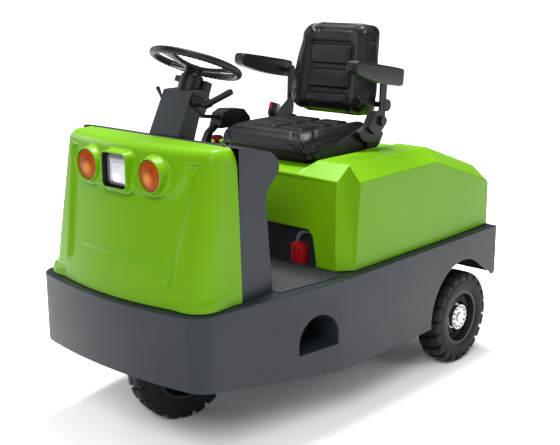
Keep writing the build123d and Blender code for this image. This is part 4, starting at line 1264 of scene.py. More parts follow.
makeTyre("front_tyre", "front_wheel")
makeTyre("rear_tyre_left", "rear_wheel_left")
makeTyre("rear_tyre_right", "rear_wheel_right")
bpy.data.objects.remove(lugPattern)
print("tyres ready")


# seat: moulded vinyl over foam, swollen by its filling, with pads and channels in the skin

seat = {
    "voxel": 0.005,
    "pressure": 4.0,
    "cushionHalf": 0.248,
    "cushionY": (-0.146, 0.312),
    "cushionZ": (1.0130, 1.082),
    "cushionCorner": 0.052,
    "cushionRoll": 0.028,
    "cushionCap": 0.010,
    "panelHalf": 0.150,
    "panelY": (-0.066, 0.276),
    "padRows": [(-0.056, 0.066), (0.084, 0.160), (0.178, 0.262)],
    "padColumns": [(-0.140, -0.009), (0.009, 0.140)],
    "backHalf": (0.216, 0.186),
    "backBelly": 0.014,
    "backDepth": 0.068,
    "backHeight": 0.396,
    "backCap": 0.009,
    "backPlace": Matrix.Translation((0, 0.266, 1.118)) @ Matrix.Rotation(radians(-10.0), 4, "X"),
    "backPanel": (0.130, -0.020, 0.318),
    "backPads": [(0.211, 0.300), (0.108, 0.194), (0.010, 0.090)],
    "backPadHalf": 0.112,
}


def roundedDistance(u, v, low, high, corner):
    # signed distance to a rounded rectangle between two corners, negative inside
    cu, cv = (low[0] + high[0]) / 2, (low[1] + high[1]) / 2
    qu = np.abs(u - cu) - (high[0] - low[0]) / 2 + corner
    qv = np.abs(v - cv) - (high[1] - low[1]) / 2 + corner
    return np.hypot(np.maximum(qu, 0), np.maximum(qv, 0)) + np.minimum(np.maximum(qu, qv), 0) - corner


def foamBlock(name, low, high, corner, roll, flat, taper=0.0):
    # a block with round corners in plan and a soft roll along the edges of its show face; flat names the face that
    # rests on something: 0 for the lowest y, 1 for the highest, 2 for the lowest z
    bm = bmesh.new()
    bmesh.ops.create_cube(bm, size=1.0)
    size = Vector(high) - Vector(low)
    centre = (Vector(high) + Vector(low)) / 2
    for v in bm.verts:
        v.co = centre + Vector((v.co.x * size.x, v.co.y * size.y, v.co.z * size.z))
    axis = 2 if flat == 2 else 1
    around = [e for e in bm.edges if abs((e.verts[0].co - e.verts[1].co)[axis]) > 1e-6]
    bmesh.ops.bevel(bm, geom=around, offset=corner, segments=10, profile=0.5, affect="EDGES")
    show = high[2] if flat == 2 else low[1]
    rest = low[2] if flat == 2 else high[1]
    for level, width in ((show, roll), (rest, 0.007)):
        rim = [e for e in bm.edges if all(abs(v.co[axis] - level) < 1e-6 for v in e.verts) and len(e.link_faces) == 2
               and any(abs(f.normal[axis]) < 0.5 for f in e.link_faces)]
        bmesh.ops.bevel(bm, geom=rim, offset=width, segments=6, profile=0.5, affect="EDGES")
        bm.normal_update()
    if taper:
        for v in bm.verts:
            v.co.x *= 1.0 - taper * (v.co.z - low[2]) / size.z
    obj = addMeshFromBmesh(name, bm)
    mod = obj.modifiers.new("voxels", "REMESH")
    mod.mode = "VOXEL"
    mod.voxel_size = seat["voxel"]
    return applyModifiers(obj)


def vertexArray(mesh, what="co"):
    data = np.empty(len(mesh.vertices) * 3)
    (mesh.vertices if what == "co" else mesh.vertex_normals).foreach_get("co" if what == "co" else "vector", data)
    return data.reshape(-1, 3)


def setVertices(mesh, points):
    mesh.vertices.foreach_set("co", np.ascontiguousarray(points).ravel())
    mesh.update()


def swell(obj, held, cap):
    # the foam's filling pushes the cover out; points in held stay where the pad rests
    start = vertexArray(obj.data)
    group = obj.vertex_groups.new(name="held")
    group.add([int(i) for i in np.flatnonzero(held(start))], 1.0, "REPLACE")
    mod = obj.modifiers.new("cover", "CLOTH")
    cloth = mod.settings
    cloth.use_pressure = True
    cloth.uniform_pressure_force = seat["pressure"]
    cloth.vertex_group_mass = "held"
    cloth.effector_weights.gravity = 0.0
    cloth.mass = 0.3
    mod.point_cache.frame_start, mod.point_cache.frame_end = 1, 20
    for step in range(1, 21):
        bpy.context.scene.frame_set(step)
    applyModifiers(obj)
    moved = vertexArray(obj.data) - start
    length = np.linalg.norm(moved, axis=1, keepdims=True)
    setVertices(obj.data, start + moved * np.minimum(1.0, cap / np.maximum(length, 1e-9)))
    obj.vertex_groups.clear()
    bpy.context.scene.frame_set(1)


def subdivideOnce(obj):
    mod = obj.modifiers.new("finer", "SUBSURF")
    mod.levels = 1
    mod.render_levels = 1
    applyModifiers(obj)


def padded(obj, slot, replaced):
    obj.data.polygons.foreach_set("use_smooth", [True] * len(obj.data.polygons))
    finishPiece(obj, "blackVinyl", nodes[replaced[0]]["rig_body"], slot, replaced)


def cushionRelief(p, n):
    # raised pads in a sunk panel, between two side bolsters
    x, y = p[:, 0], p[:, 1]
    panel = roundedDistance(x, y, (-seat["panelHalf"], seat["panelY"][0]), (seat["panelHalf"], seat["panelY"][1]), 0.03)
    height = -0.0080 * (1 - smoothStep(panel, -0.012, 0.006))
    for x0, x1 in seat["padColumns"]:
        for y0, y1 in seat["padRows"]:
            pad = roundedDistance(x, y, (x0, y0), (x1, y1), 0.012)
            height = height + 0.0105 * (1 - smoothStep(pad, -0.009, 0.0015)) + 0.0035 * (1 - smoothStep(pad, -0.05, 0.0))
    side = np.abs(x)
    height += 0.0065 * smoothStep(side, 0.150, 0.186) * (1 - smoothStep(side, 0.205, 0.236)) * smoothStep(y, -0.10, 0.05)
    return height * smoothStep(n[:, 2], 0.35, 0.8)


def makeCushion():
    (y0, y1), (z0, z1), half = seat["cushionY"], seat["cushionZ"], seat["cushionHalf"]
    obj = foamBlock("seatCushion", (-half, y0, z0), (half, y1, z1), seat["cushionCorner"], seat["cushionRoll"], 2)
    swell(obj, lambda p: p[:, 2] < z0 + 0.006, seat["cushionCap"])
    p = vertexArray(obj.data)
    front = 1 - smoothStep(p[:, 1], y0 - 0.01, y0 + 0.09)
    rise = smoothStep(p[:, 2], z0 + 0.01, z1)
    p[:, 2] -= 0.011 * front * rise  # the front edge rolls down towards the knees
    p[:, 1] -= 0.004 * front * smoothStep(p[:, 2], z0, z0 + 0.02) * (1 - smoothStep(p[:, 2], z1 - 0.03, z1))
    setVertices(obj.data, p)
    subdivideOnce(obj)
    p, n = vertexArray(obj.data), vertexArray(obj.data, "normal")
    p[:, 2] += cushionRelief(p, n)
    setVertices(obj.data, p)
    padded(obj, "black_vinyl", ("seat_cushion",))


def backRelief(p, n):
    x, z = p[:, 0], p[:, 2]
    half, low, high = seat["backPanel"]
    panel = roundedDistance(x, z, (-half, low), (half, high), 0.035)
    depth = 0.012 * (1 - smoothStep(panel, -0.014, 0.004))
    for z0, z1 in seat["backPads"]:
        pad = roundedDistance(x, z, (-seat["backPadHalf"], z0), (seat["backPadHalf"], z1), 0.018)
        depth = depth - 0.0125 * (1 - smoothStep(pad, -0.010, 0.001)) - 0.003 * (1 - smoothStep(pad, -0.035, 0.0))
    side = np.abs(x)
    wing = smoothStep(side, 0.115, 0.165) * (1 - smoothStep(side, 0.175, 0.215))
    depth -= 0.006 * wing * smoothStep(z, 0.02, 0.08) * (1 - smoothStep(z, 0.24, 0.34))
    return depth * smoothStep(-n[:, 1], 0.35, 0.8)


def makeBackrest():
    low, high = seat["backHalf"]
    obj = foamBlock("seatBackrest", (-low, 0.004, 0.004), (low, seat["backDepth"], seat["backHeight"]), 0.068, 0.028, 1,
                    1 - high / low)
    swell(obj, lambda p: p[:, 1] > seat["backDepth"] - 0.006, seat["backCap"])
    subdivideOnce(obj)
    p, n = vertexArray(obj.data), vertexArray(obj.data, "normal")
    p[:, 1] += backRelief(p, n)
    p[:, 1] -= 0.010 * smoothStep(np.abs(p[:, 0]), 0.09, 0.19) * (1 - smoothStep(p[:, 1], 0.0, 0.06))  # wings
    belly = smoothStep(p[:, 2], 0.0, 0.12) * (1 - smoothStep(p[:, 2], 0.20, 0.34))
    p[:, 0] += np.sign(p[:, 0]) * seat["backBelly"] * belly * smoothStep(np.abs(p[:, 0]), 0.15, 0.20)
    setVertices(obj.data, p)
    obj.data.transform(seat["backPlace"])
    padded(obj, "black_vinyl", ("seat_back",))


makeCushion()
makeBackrest()
print("seat ready")


# armrests: skinned foam pads on their pins

armrest = {
    "inner": 0.284,
    "outer": 0.340,
    "pivot": (0.345, 1.280),
    "offset": (0.032, -0.035),
    "tilt": radians(9.5),
    "round": 0.009,
    "profile": [  # y, z from the lower rear corner round to it, before the tilt
        (0.0, 0.010), (-0.003, 0.066), (-0.010, 0.074), (-0.060, 0.0765), (-0.200, 0.0768), (-0.318, 0.0762),
        (-0.333, 0.072), (-0.3395, 0.061), (-0.3395, 0.042), (-0.334, 0.030), (-0.318, 0.0215), (-0.280, 0.0145),
        (-0.220, 0.0065), (-0.150, 0.0015), (-0.090, 0.0), (-0.020, 0.0), (-0.005, 0.003),
    ],
}


def makeArmrest(side, node):
    count = len(armrest["profile"])
    turn = Matrix.Rotation(-armrest["tilt"], 4, "X")
    shift = Vector((0, armrest["pivot"][0] + armrest["offset"][0], armrest["pivot"][1] + armrest["offset"][1]))
    vertices = []
    for x in (armrest["inner"] + 0.0003, armrest["outer"] - 0.0003):
        for y, z in armrest["profile"]:
            vertices.append(turn @ Vector((0, y, z)) + shift + Vector((side * x, 0, 0)))
    faces = [tuple(range(count)), tuple(reversed(range(count, 2 * count)))]
    faces += [(i, i + count, (i + 1) % count + count, (i + 1) % count) for i in range(count)]
    obj = addMesh("armrestPad" + ("Left" if side > 0 else "Right"), vertices, faces)
    bm = bmesh.new()
    bm.from_mesh(obj.data)
    bmesh.ops.recalc_face_normals(bm, faces=bm.faces)
    caps = [e for e in bm.edges if abs(e.verts[0].co.x - e.verts[1].co.x) < 1e-6]
    bmesh.ops.bevel(bm, geom=caps, offset=armrest["round"], segments=5, profile=0.5, affect="EDGES")
    bm.to_mesh(obj.data)
    bm.free()
    addWeightedNormals(obj)
    applyModifiers(obj)
    padded(obj, nodeSlot[node], (node,))


makeArmrest(1, "armrest_left")
makeArmrest(-1, "armrest_right")
print("armrests ready")


# steering wheel: grip ring with finger bumps below, and three spokes that fall to the hub

steering = {
    "place": Matrix.Translation((0, -0.500, 1.383)) @ Matrix.Rotation(radians(-22.0), 4, "X"),
    "ring": 0.167,
    "grip": 0.0128,
    "bumps": 54,
    "bumpHeight": 0.0011,
    "boss": 0.032,
    "bossLow": -0.057,
    "spokes": [(-90.0, 0.029, 0.034), (15.0, 0.014, 0.022), (165.0, 0.014, 0.022)],  # turn, half width in and out
}


def gripRing():
    steps, around = 324, 20
    vertices, faces = [], []
    for i in range(steps):
        angle = 2 * pi * i / steps
        wave = 0.5 + 0.5 * cos(steering["bumps"] * angle)
        for k in range(around):
            a = 2 * pi * k / around
            below = max(0.0, -sin(a + 0.5)) ** 0.7  # strongest under the inner side, where the fingers close
            r = steering["grip"] + steering["bumpHeight"] * wave * below
            reach = steering["ring"] + r * cos(a)
            vertices.append((reach * cos(angle), reach * sin(angle), r * sin(a) * 1.06))
    for i in range(steps):
        j = (i + 1) % steps
        for k in range(around):
            m = (k + 1) % around
            faces.append((i * around + k, j * around + k, j * around + m, i * around + m))
    return addMesh("gripRing", vertices, faces)


def latheZ(name, profile, segments=64):
    # turns (radius, z) points about Z; the first and last points lie on the axis
    vertices = [(0, 0, profile[0][1]), (0, 0, profile[-1][1])]
    inner = profile[1:-1]
    for i in range(segments):
        angle = 2 * pi * i / segments
        vertices += [(r * cos(angle), r * sin(angle), z) for r, z in inner]
    faces, count = [], len(inner)
    for i in range(segments):
        j = (i + 1) % segments
        a, b = 2 + i * count, 2 + j * count
        faces.append((0, b, a))
        faces.append((1, a + count - 1, b + count - 1))
        for k in range(count - 1):
            faces.append((a + k, b + k, b + k + 1, a + k + 1))
    obj = addMesh(name, vertices, faces)
    fixNormals(obj)
    return obj


def fixNormals(obj):
    bm = bmesh.new()
    bm.from_mesh(obj.data)
    bmesh.ops.remove_doubles(bm, verts=bm.verts, dist=1e-6)
    bmesh.ops.recalc_face_normals(bm, faces=bm.faces)
    bm.to_mesh(obj.data)
    bm.free()


def spoke(turn, inner, outer):
    # a lens-shaped bar from the hub to the ring, waisted in its middle
    sections, around = 12, 16
    vertices, faces = [], []
    for i in range(sections):
        t = i / (sections - 1)
        x = 0.020 + (steering["ring"] - 0.022) * t
        z = -0.018 + 0.016 * t * t
        waist = inner + (outer - inner) * t - 0.007 * sin(pi * t) + 0.012 * max(0.0, t - 0.75) * 4
        thick = 0.0085 - 0.002 * sin(pi * t)
        for k in range(around):
            a = 2 * pi * k / around
            vertices.append((x, waist * np.sign(cos(a)) * abs(cos(a)) ** 0.6, z + thick * np.sign(sin(a)) * abs(sin(a)) ** 0.8))
    for i in range(sections - 1):
        for k in range(around):
            a, b = i * around + k, i * around + (k + 1) % around
            faces.append((a, b, b + around, a + around))
    faces += [tuple(reversed(range(around))), tuple(range((sections - 1) * around, sections * around))]
    obj = addMesh("spoke", vertices, faces)
    fixNormals(obj)
    obj.data.transform(Matrix.Rotation(radians(turn), 4, "Z"))
    return obj


def makeSteeringWheel():
    b, low = steering["boss"], steering["bossLow"]
    boss = latheZ("hubBoss", [
        (0, -0.0085), (0.020, -0.0085), (0.0215, -0.010), (0.0225, -0.0125), (b - 0.002, -0.0140), (b, -0.0170),
        (b + 0.0005, low + 0.018), (b + 0.003, low + 0.013), (b + 0.010, low + 0.008), (b + 0.011, low + 0.004),
        (b + 0.0095, low + 0.001), (b + 0.008, low), (0, low),
    ])
    parts = [gripRing(), boss] + [spoke(*row) for row in steering["spokes"]]
    obj = joinObjects("steeringWheel", parts)
    smoothByAngle(obj, 42)
    obj.data.transform(steering["place"])
    finishPiece(obj, "gripPlastic", nodes["steering_wheel"]["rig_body"], nodeSlot["steering_wheel"], ("steering_wheel",))


makeSteeringWheel()
print("steering wheel ready")


# column levers: ribbed gaiter and bent grip on the left, short switch on the right

levers = {
    "gaiter": (0.0783, -0.582, 1.258),
    "folds": 6,
    "foldRadius": (0.0255, 0.0150),
    "foldLength": 0.054,
    "grip": [(0.126, -0.582, 1.2535), (0.140, -0.582, 1.2500), (0.152, -0.582, 1.2535), (0.170, -0.582, 1.2615),
             (0.216, -0.580, 1.2830), (0.2575, -0.578, 1.3025)],
    "gripRadii": (0.0165, 0.0178, 0.0150, 0.0118, 0.0118, 0.0122),
    "switch": [(-0.0782, -0.607, 1.2600), (-0.0860, -0.607, 1.2730), (-0.0990, -0.607, 1.2955)],
    "switchRadii": (0.0055, 0.0058, 0.0082),
}


def sweep(name, path, radii, around=20, dome=0.5):
    # a round bar through the points, each with its own radius, with domed ends
    points = [Vector(p) for p in path]
    rows = [(points[0], radii[0] * 0.35), (points[0], radii[0] * 0.8)]
    rows += list(zip(points, radii))
    tip = (points[-1] - points[-2]).normalized()
    for share in (0.35, 0.7, 0.92, 0.995):
        rows.append((points[-1] + tip * radii[-1] * dome * share, radii[-1] * sqrt(1 - share * share)))
    directions = []
    for i in range(len(points)):
        a, b = points[max(i - 1, 0)], points[min(i + 1, len(points) - 1)]
        directions.append((b - a).normalized())
    directions = [directions[0]] * 2 + directions + [tip] * 4
    side = directions[0].cross(Vector((0.03, 1, 0.02))).normalized()
    vertices, faces = [], []
    for (centre, radius), direction in zip(rows, directions):
        side = (side - direction * side.dot(direction)).normalized()
        other = direction.cross(side)
        for k in range(around):
            a = 2 * pi * k / around
            vertices.append(centre + radius * (cos(a) * side + sin(a) * other))
    for i in range(len(rows) - 1):
        for k in range(around):
            a, b = i * around + k, i * around + (k + 1) % around
            faces.append((a, b, b + around, a + around))
    faces += [tuple(reversed(range(around))), tuple(range((len(rows) - 1) * around, len(rows) * around))]
    obj = addMesh(name, vertices, faces)
    fixNormals(obj)
    return obj


def makeLevers():
    wide, narrow = levers["foldRadius"]
    profile = [(0, 0.0), (wide, 0.0), (wide, 0.0035)]
    for i in range(levers["folds"]):
        t = i / levers["folds"]
        z = 0.0035 + (levers["foldLength"] - 0.004) * t
        step = (levers["foldLength"] - 0.004) / levers["folds"]
        r = wide + (narrow - wide) * t
        profile += [(r - 0.0055, z + step * 0.10), (r - 0.0062, z + step * 0.24), (r - 0.0008, z + step * 0.52),
                    (r, z + step * 0.66), (r - 0.0012, z + step * 0.84)]
    profile += [(narrow - 0.003, levers["foldLength"]), (0, levers["foldLength"])]
    gaiter = latheZ("leverGaiter", profile, 48)
    gaiter.data.transform(Matrix.Translation(levers["gaiter"]) @ Matrix.Rotation(pi / 2, 4, "Y"))
    parts = [gaiter, sweep("directionGrip", levers["grip"], levers["gripRadii"], 24),
             sweep("signalSwitch", levers["switch"], levers["switchRadii"], 18)]
    obj = joinObjects("columnLevers", parts)
    smoothByAngle(obj, 40)
    finishPiece(obj, "gripPlastic", nodes["column_levers"]["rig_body"], nodeSlot["column_levers"], ("column_levers",))


makeLevers()
print("levers ready")


# floor mat: thin sheet with broad flat ribs across it

mat = {
    "y": (-0.540, -0.206),
    "z": 0.582,
    "sheet": 0.0042,
    "pitch": 0.026,
    "rib": 0.0014,
    "half": 0.531,  # the skirt's half width behind its kink
    "kink": -0.250,
    "taper": 0.1286,  # how fast the half width falls ahead of the kink
    "edgeInset": 0.038,
    "ribInset": 0.048,
}


def matHalf(y, inset):
    return mat["half"] - mat["taper"] * max(0.0, mat["kink"] - y) - inset


def ribTree():
    # ribs repeated along Y: each rib is a ridge as long as the mat is wide at its place
    tree = bpy.data.node_groups.new("matRibs", "GeometryNodeTree")
    for label, kind, way in (("Geometry", "NodeSocketGeometry", "INPUT"), ("Count", "NodeSocketInt", "INPUT"),
                             ("Pitch", "NodeSocketFloat", "INPUT"), ("Start", "NodeSocketFloat", "INPUT"),
                             ("Height", "NodeSocketFloat", "INPUT"), ("Half Width", "NodeSocketFloat", "INPUT"),
                             ("Taper", "NodeSocketFloat", "INPUT"), ("Kink", "NodeSocketFloat", "INPUT"),
                             ("Level", "NodeSocketFloat", "INPUT"), ("Finish", "NodeSocketMaterial", "INPUT"),
                             ("Geometry", "NodeSocketGeometry", "OUTPUT")):
        tree.interface.new_socket(label, in_out=way, socket_type=kind)
    new, link = tree.nodes.new, tree.links.new
    source, sink = new("NodeGroupInput"), new("NodeGroupOutput")

    def number(operation, *values):
        node = new("ShaderNodeMath")
        node.operation = operation
        for index, value in enumerate(values):
            if isinstance(value, (int, float)):
                node.inputs[index].default_value = value
            else:
                link(value, node.inputs[index])
        return node.outputs[0]

    index = new("GeometryNodeInputIndex")
    line = new("GeometryNodeMeshLine")
    line.inputs["Offset"].default_value = (0, 0, 0)
    link(source.outputs["Count"], line.inputs["Count"])
    y = number("ADD", number("MULTIPLY", index.outputs[0], source.outputs["Pitch"]), source.outputs["Start"])
    place = new("ShaderNodeCombineXYZ")
    link(y, place.inputs["Y"])
    link(source.outputs["Level"], place.inputs["Z"])
    spots = new("GeometryNodeSetPosition")
    link(line.outputs["Mesh"], spots.inputs["Geometry"])
    link(place.outputs[0], spots.inputs["Position"])
    ahead = number("MAXIMUM", number("SUBTRACT", source.outputs["Kink"], y), 0.0)
    half = number("SUBTRACT", source.outputs["Half Width"], number("MULTIPLY", ahead, source.outputs["Taper"]))
    ridge = new("GeometryNodeMeshCylinder")
    ridge.inputs["Vertices"].default_value = 8
    ridge.inputs["Radius"].default_value = 1.0
    ridge.inputs["Depth"].default_value = 2.0
    scale = new("ShaderNodeCombineXYZ")
    link(source.outputs["Height"], scale.inputs["X"])
    link(number("MULTIPLY", source.outputs["Pitch"], 0.34), scale.inputs["Y"])
    link(half, scale.inputs["Z"])
    ribs = new("GeometryNodeInstanceOnPoints")
    link(spots.outputs[0], ribs.inputs["Points"])
    link(ridge.outputs["Mesh"], ribs.inputs["Instance"])
    ribs.inputs["Rotation"].default_value = (0, pi / 2, 0)
    link(scale.outputs[0], ribs.inputs["Scale"])
    join = new("GeometryNodeJoinGeometry")
    real = new("GeometryNodeRealizeInstances")
    link(ribs.outputs[0], real.inputs[0])
    link(real.outputs[0], join.inputs[0])
    link(source.outputs["Geometry"], join.inputs[0])
    paint = new("GeometryNodeSetMaterial")
    link(join.outputs[0], paint.inputs["Geometry"])
    link(source.outputs["Finish"], paint.inputs["Material"])
    link(paint.outputs[0], sink.inputs[0])
    return tree


def makeMat():
    y0, y1 = mat["y"]
    ring = [(matHalf(y, mat["edgeInset"]), y) for y in (y0, mat["kink"], y1)]
    ring += [(-x, y) for x, y in reversed(ring)]
    count = len(ring)
    vertices = [(x, y, mat["z"]) for x, y in ring] + [(x, y, mat["z"] + mat["sheet"]) for x, y in ring]
    faces = [tuple(reversed(range(count))), tuple(range(count, 2 * count))]
    faces += [(i, (i + 1) % count, (i + 1) % count + count, i + count) for i in range(count)]
    obj = addMesh("floorMat", vertices, faces)
    fixNormals(obj)
    addBevel(obj, 0.001, 1, 60)
    applyModifiers(obj)
    count = int((y1 - y0 - 0.024) / mat["pitch"]) + 1
    applyTree(obj, ribTree(), Count=count, Pitch=mat["pitch"], Start=y0 + 0.012, Height=mat["rib"],
              HalfWidth=mat["half"] - mat["ribInset"], Taper=mat["taper"], Kink=mat["kink"],
              Level=mat["z"] + mat["sheet"], Finish=materials["matRubber"])
    smoothByAngle(obj, 50)
    finishPiece(obj, "matRubber", nodes["floor_mat"]["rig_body"], nodeSlot["floor_mat"], ("floor_mat",))


makeMat()
print("floor mat ready")


# lamps: domed amber lenses in their cups, and a square headlamp set back in a black cup

lampParts = {
    "domeRise": 0.011,
    "domeStart": 0.0095,  # behind the cup's face
    "ringStep": 0.0042,
    "cupDepth": 0.022,
}


def fanDisc(name, outline, rings, depth):
    # a dish over an outline: rings are shares of its size, depth(share) gives y
    base = outline(0.0)
    cx = sum(p[0] for p in base) / len(base)
    cz = sum(p[1] for p in base) / len(base)
    vertices = [(cx, depth(0.0), cz)]
    for share in rings:
        vertices += [(cx + (x - cx) * share, depth(share), cz + (z - cz) * share) for x, z in base]
    count = len(base)
    faces = [(0, 1 + i, 1 + (i + 1) % count) for i in range(count)]
    for j in range(len(rings) - 1):
        for i in range(count):
            a, b = 1 + j * count + i, 1 + j * count + (i + 1) % count
            faces.append((a, a + count, b + count, b))
    obj = addMesh(name, vertices, faces)
    bm = bmesh.new()
    bm.from_mesh(obj.data)
    bmesh.ops.recalc_face_normals(bm, faces=bm.faces)
    if sum(f.normal.y * f.calc_area() for f in bm.faces) > 0:
        bmesh.ops.reverse_faces(bm, faces=bm.faces)
    bm.to_mesh(obj.data)
    bm.free()
    return obj


def thicken(obj, wall):
    mod = obj.modifiers.new("wall", "SOLIDIFY")
    mod.thickness = wall
    mod.offset = -1.0
    return applyModifiers(obj)


def makeTurnLamps():
    face = lamps["faceY"] + lampParts["domeStart"]
    rings = [k / 30 for k in range(1, 31)]

    def depth(share):
        # stepped optic rings on a dome, with a plain bead round the edge
        dome = -lampParts["domeRise"] * (1 - share * share)
        step = 0.0009 * (0.5 + 0.5 * cos(2 * pi * share * lamps["radius"] / lampParts["ringStep"]))
        bead = -0.0016 * max(0.0, 1 - abs(share - 0.955) / 0.04)
        return face + dome + (step if share < 0.9 else 0.0) + bead

    parts = []
    for side in (-1, 1):
        parts.append(fanDisc(f"lens{side}", roundOutline(side * lamps["x"], lamps["z"], lamps["radius"] - 0.0012, 64),
                             rings, depth))
    obj = joinObjects("turnLampLenses", parts)
    thicken(obj, 0.004)
    smoothByAngle(obj, 60)
    finishPiece(obj, "amberLens", "chassis", nodeSlot["turn_lamps"], ("turn_lamps",))


def makeHeadlamp():
    width, height = lamps["square"]
    outline = squareOutline(0, lamps["squareZ"], width - 0.001, height - 0.001, lamps["squareCorner"])
    lensOutline = squareOutline(0, lamps["squareZ"], width - 0.012, height - 0.012, lamps["squareCorner"] + 0.006)
    face = lamps["squareFaceY"]
    lensY = face + lampParts["cupDepth"]
    wall = fanDisc("cup", outline, [0.80, 0.94, 0.95, 0.97, 1.0, 1.0, 1.0],
                   lambda share: lensY + 0.003)
    points = vertexArray(wall.data)
    count = len(outline(0))
    points[-count:, 1] = face + 0.003
    points[-2 * count:-count, 1] = lensY - 0.002
    setVertices(wall.data, points)
    thicken(wall, 0.0025)
    smoothByAngle(wall, 40)
    wall.name = "headlampCup"
    finishPiece(wall, "blackPlastic", "chassis", "black_plastic", ("headlamp",))
    bowl = fanDisc("headlampReflector", lensOutline, [k / 24 for k in range(1, 25)],
                   lambda share: lensY + 0.001 - 0.0055 * (1 - share ** 3))
    points = vertexArray(bowl.data)
    flute = 0.0006 * np.abs(np.sin(points[:, 0] * pi / 0.0105)) * (np.abs(points[:, 0]) < width / 2 - 0.014)
    points[:, 1] -= flute
    setVertices(bowl.data, points)
    thicken(bowl, 0.002)
    smoothByAngle(bowl, 50)
    finishPiece(bowl, "headlampOptic", "chassis", nodeSlot["headlamp"])


makeTurnLamps()
makeHeadlamp()
print("lamps ready")


# battery connector with its grey pull strap

plug = {
    "x": (0.2150, 0.2790),
    "y": (-0.2035, -0.1705),
    "z": (0.5825, 0.668),
    "ribs": 7,
    "strapWidth": 0.017,
    "strap": [(0.236, -0.188, 0.660), (0.238, -0.187, 0.684), (0.247, -0.185, 0.702), (0.262, -0.180, 0.711),
              (0.280, -0.172, 0.713), (0.296, -0.160, 0.710)],
}


def boxMesh(name, low, high, radius, segments=3):
    bm = bmesh.new()
    bmesh.ops.create_cube(bm, size=1.0)
    size, centre = Vector(high) - Vector(low), (Vector(high) + Vector(low)) / 2
    for v in bm.verts:
        v.co = centre + Vector((v.co.x * size.x, v.co.y * size.y, v.co.z * size.z))
    bmesh.ops.bevel(bm, geom=list(bm.edges), offset=radius, segments=segments, profile=0.5, affect="EDGES")
    return addMeshFromBmesh(name, bm)


def makePlug():
    (x0, x1), (y0, y1), (z0, z1) = plug["x"], plug["y"], plug["z"]
    middle = (x0 + x1) / 2
    parts = [
        boxMesh("shellA", (x0, y0, z0), (middle + 0.003, y1, z1 - 0.006), 0.003),
        boxMesh("shellB", (middle - 0.001, y0 - 0.0035, z0), (x1, y1, z1 - 0.010), 0.003),
        boxMesh("wireEnds", (x0 + 0.008, y0 + 0.005, z1 - 0.014), (x1 - 0.008, y1 - 0.005, z1), 0.003),
        boxMesh("latch", (middle + 0.004, y0 - 0.0065, z0 + 0.012), (middle + 0.0085, y0, z1 - 0.016), 0.0015, 2),
        boxMesh("foot", (middle + 0.004, y0 - 0.0065, z0 + 0.012), (x1 - 0.008, y0, z0 + 0.0165), 0.0015, 2),
    ]
    for i in range(plug["ribs"]):
        z = z0 + 0.010 + i * 0.0085
        parts.append(boxMesh(f"rib{i}", (x0 + 0.004, y0 - 0.0022, z), (middle - 0.006, y0 + 0.002, z + 0.0042), 0.001, 1))
    obj = joinObjects("batteryPlug", parts)
    smoothByAngle(obj, 50)
    finishPiece(obj, "redPlastic", "chassis", nodeSlot["battery_connector"], ("battery_connector",))


def bandAlong(name, points, width, across, wall, steps=28):
    # a flat band through the points, its width along the given direction
    spline = [Vector(p) for p in points]
    centre = []
    for i in range(steps + 1):
        t = i / steps * (len(spline) - 1)
        k = min(int(t), len(spline) - 2)
        u = t - k
        p0, p1, p2, p3 = spline[max(k - 1, 0)], spline[k], spline[k + 1], spline[min(k + 2, len(spline) - 1)]
        centre.append(0.5 * (2 * p1 + (p2 - p0) * u + (2 * p0 - 5 * p1 + 4 * p2 - p3) * u * u
                             + (3 * p1 - p0 - 3 * p2 + p3) * u ** 3))
    side = Vector(across).normalized() * width / 2
    vertices = [p + side * k for p in centre for k in (-1.0, -0.4, 0.4, 1.0)]
    faces = [(4 * i + k, 4 * i + k + 1, 4 * i + k + 5, 4 * i + k + 4) for i in range(steps) for k in range(3)]
    obj = addMesh(name, vertices, faces)
    mod = obj.modifiers.new("wall", "SOLIDIFY")
    mod.thickness = wall
    mod.offset = 0.0
    addBevel(obj, wall * 0.3, 2, 50)
    applyModifiers(obj)
    fixNormals(obj)
    return obj


def makePullStrap():
    strap = bandAlong("pullStrap", plug["strap"], plug["strapWidth"], (0.62, 0.30, -0.72), 0.0018)
    smoothByAngle(strap, 50)
    finishPiece(strap, "greyStrap", "chassis", "black_plastic")


makePlug()
makePullStrap()
print("battery connector ready")


# seat belt: black buckle head with a red button, and the folded webbing beside it

belt = {
    "place": Matrix.Translation((-0.259, 0.179, 1.000)) @ Matrix.Rotation(radians(-17.0), 4, "X"),
    "loop": [(-0.2640, 0.262, 1.060), (-0.2610, 0.259, 1.085), (-0.2590, 0.255, 1.108), (-0.2625, 0.254, 1.128),
             (-0.2705, 0.256, 1.132), (-0.2760, 0.259, 1.118), (-0.2765, 0.262, 1.096), (-0.2750, 0.264, 1.074)],
    "width": 0.032,
    "mushroom": (0.029, 0.018),
}


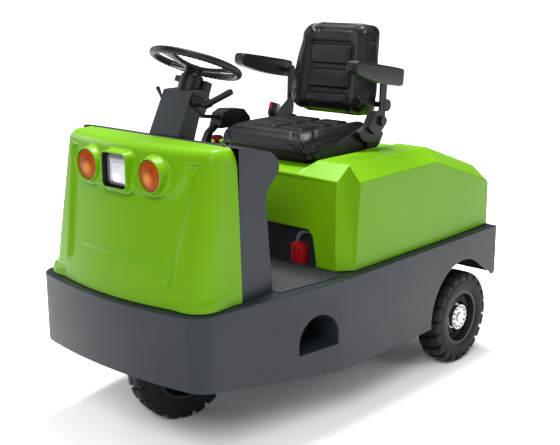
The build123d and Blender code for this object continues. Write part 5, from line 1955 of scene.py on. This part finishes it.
def makeStopButton():
    # red mushroom head over its collar, about the CAD button's own axis
    points = vertexArray(nodes["stop_button"].data)
    low, high = points.min(axis=0), points.max(axis=0)
    radius, height = belt["mushroom"]
    top = float(high[2]) - float(low[2])
    head = latheZ("stopButton", [
        (0, 0.0), (0.012, 0.0), (0.012, top - height), (radius - 0.004, top - height), (radius - 0.001, top - height + 0.002),
        (radius, top - height + 0.006), (radius - 0.002, top - 0.006), (radius - 0.008, top - 0.0015), (0, top),
    ], 48)
    head.data.transform(Matrix.Translation(((low[0] + high[0]) / 2, (low[1] + high[1]) / 2, low[2])))
    smoothByAngle(head, 45)
    finishPiece(head, "redPlastic", nodes["stop_button"]["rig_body"], nodeSlot["stop_button"], ("stop_button",))


def makeBuckle():
    head = boxMesh("head", (-0.0118, -0.0190, 0.092), (0.0118, 0.0190, 0.1520), 0.0045, 4)
    neck = boxMesh("neck", (-0.0075, -0.0130, 0.060), (0.0075, 0.0130, 0.096), 0.003, 3)
    stalk = boxMesh("stalk", (-0.0030, -0.0110, 0.004), (0.0030, 0.0110, 0.070), 0.0012, 2)
    button = boxMesh("beltButton", (-0.0090, -0.0200, 0.1200), (0.0090, -0.0150, 0.1525), 0.0015, 2)
    button.data.transform(belt["place"])
    smoothByAngle(button, 50)
    foot = boxMesh("foot", (-0.2615, 0.1665, 1.0025), (-0.2530, 0.1915, 1.0275), 0.0008, 1)
    body = joinObjects("beltBuckle", [head, neck, stalk])
    body.data.transform(belt["place"])
    body = joinObjects("beltBuckle", [body, foot])
    smoothByAngle(body, 50)
    finishPiece(body, "blackPlastic", nodes["belt_buckle"]["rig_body"], nodeSlot["belt_buckle"], ("belt_buckle",))
    finishPiece(button, "redPlastic", nodes["belt_buckle"]["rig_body"], "red_plastic")
    webbing = bandAlong("beltWebbing", belt["loop"], belt["width"], (0, 0.97, 0.24), 0.0022)
    smoothByAngle(webbing, 60)
    finishPiece(webbing, "paleWebbing", nodes["belt_buckle"]["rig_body"], "black_vinyl")


makeBuckle()
makeStopButton()
print("seat belt and stop button ready")


# CAD nodes that still show get their finish

for node, obj in nodes.items():
    finish = materials[slotFinish[nodeSlot[node]]]
    if not obj.data.materials:
        obj.data.materials.append(finish)
    for index in range(len(obj.data.materials)):
        obj.data.materials[index] = finish
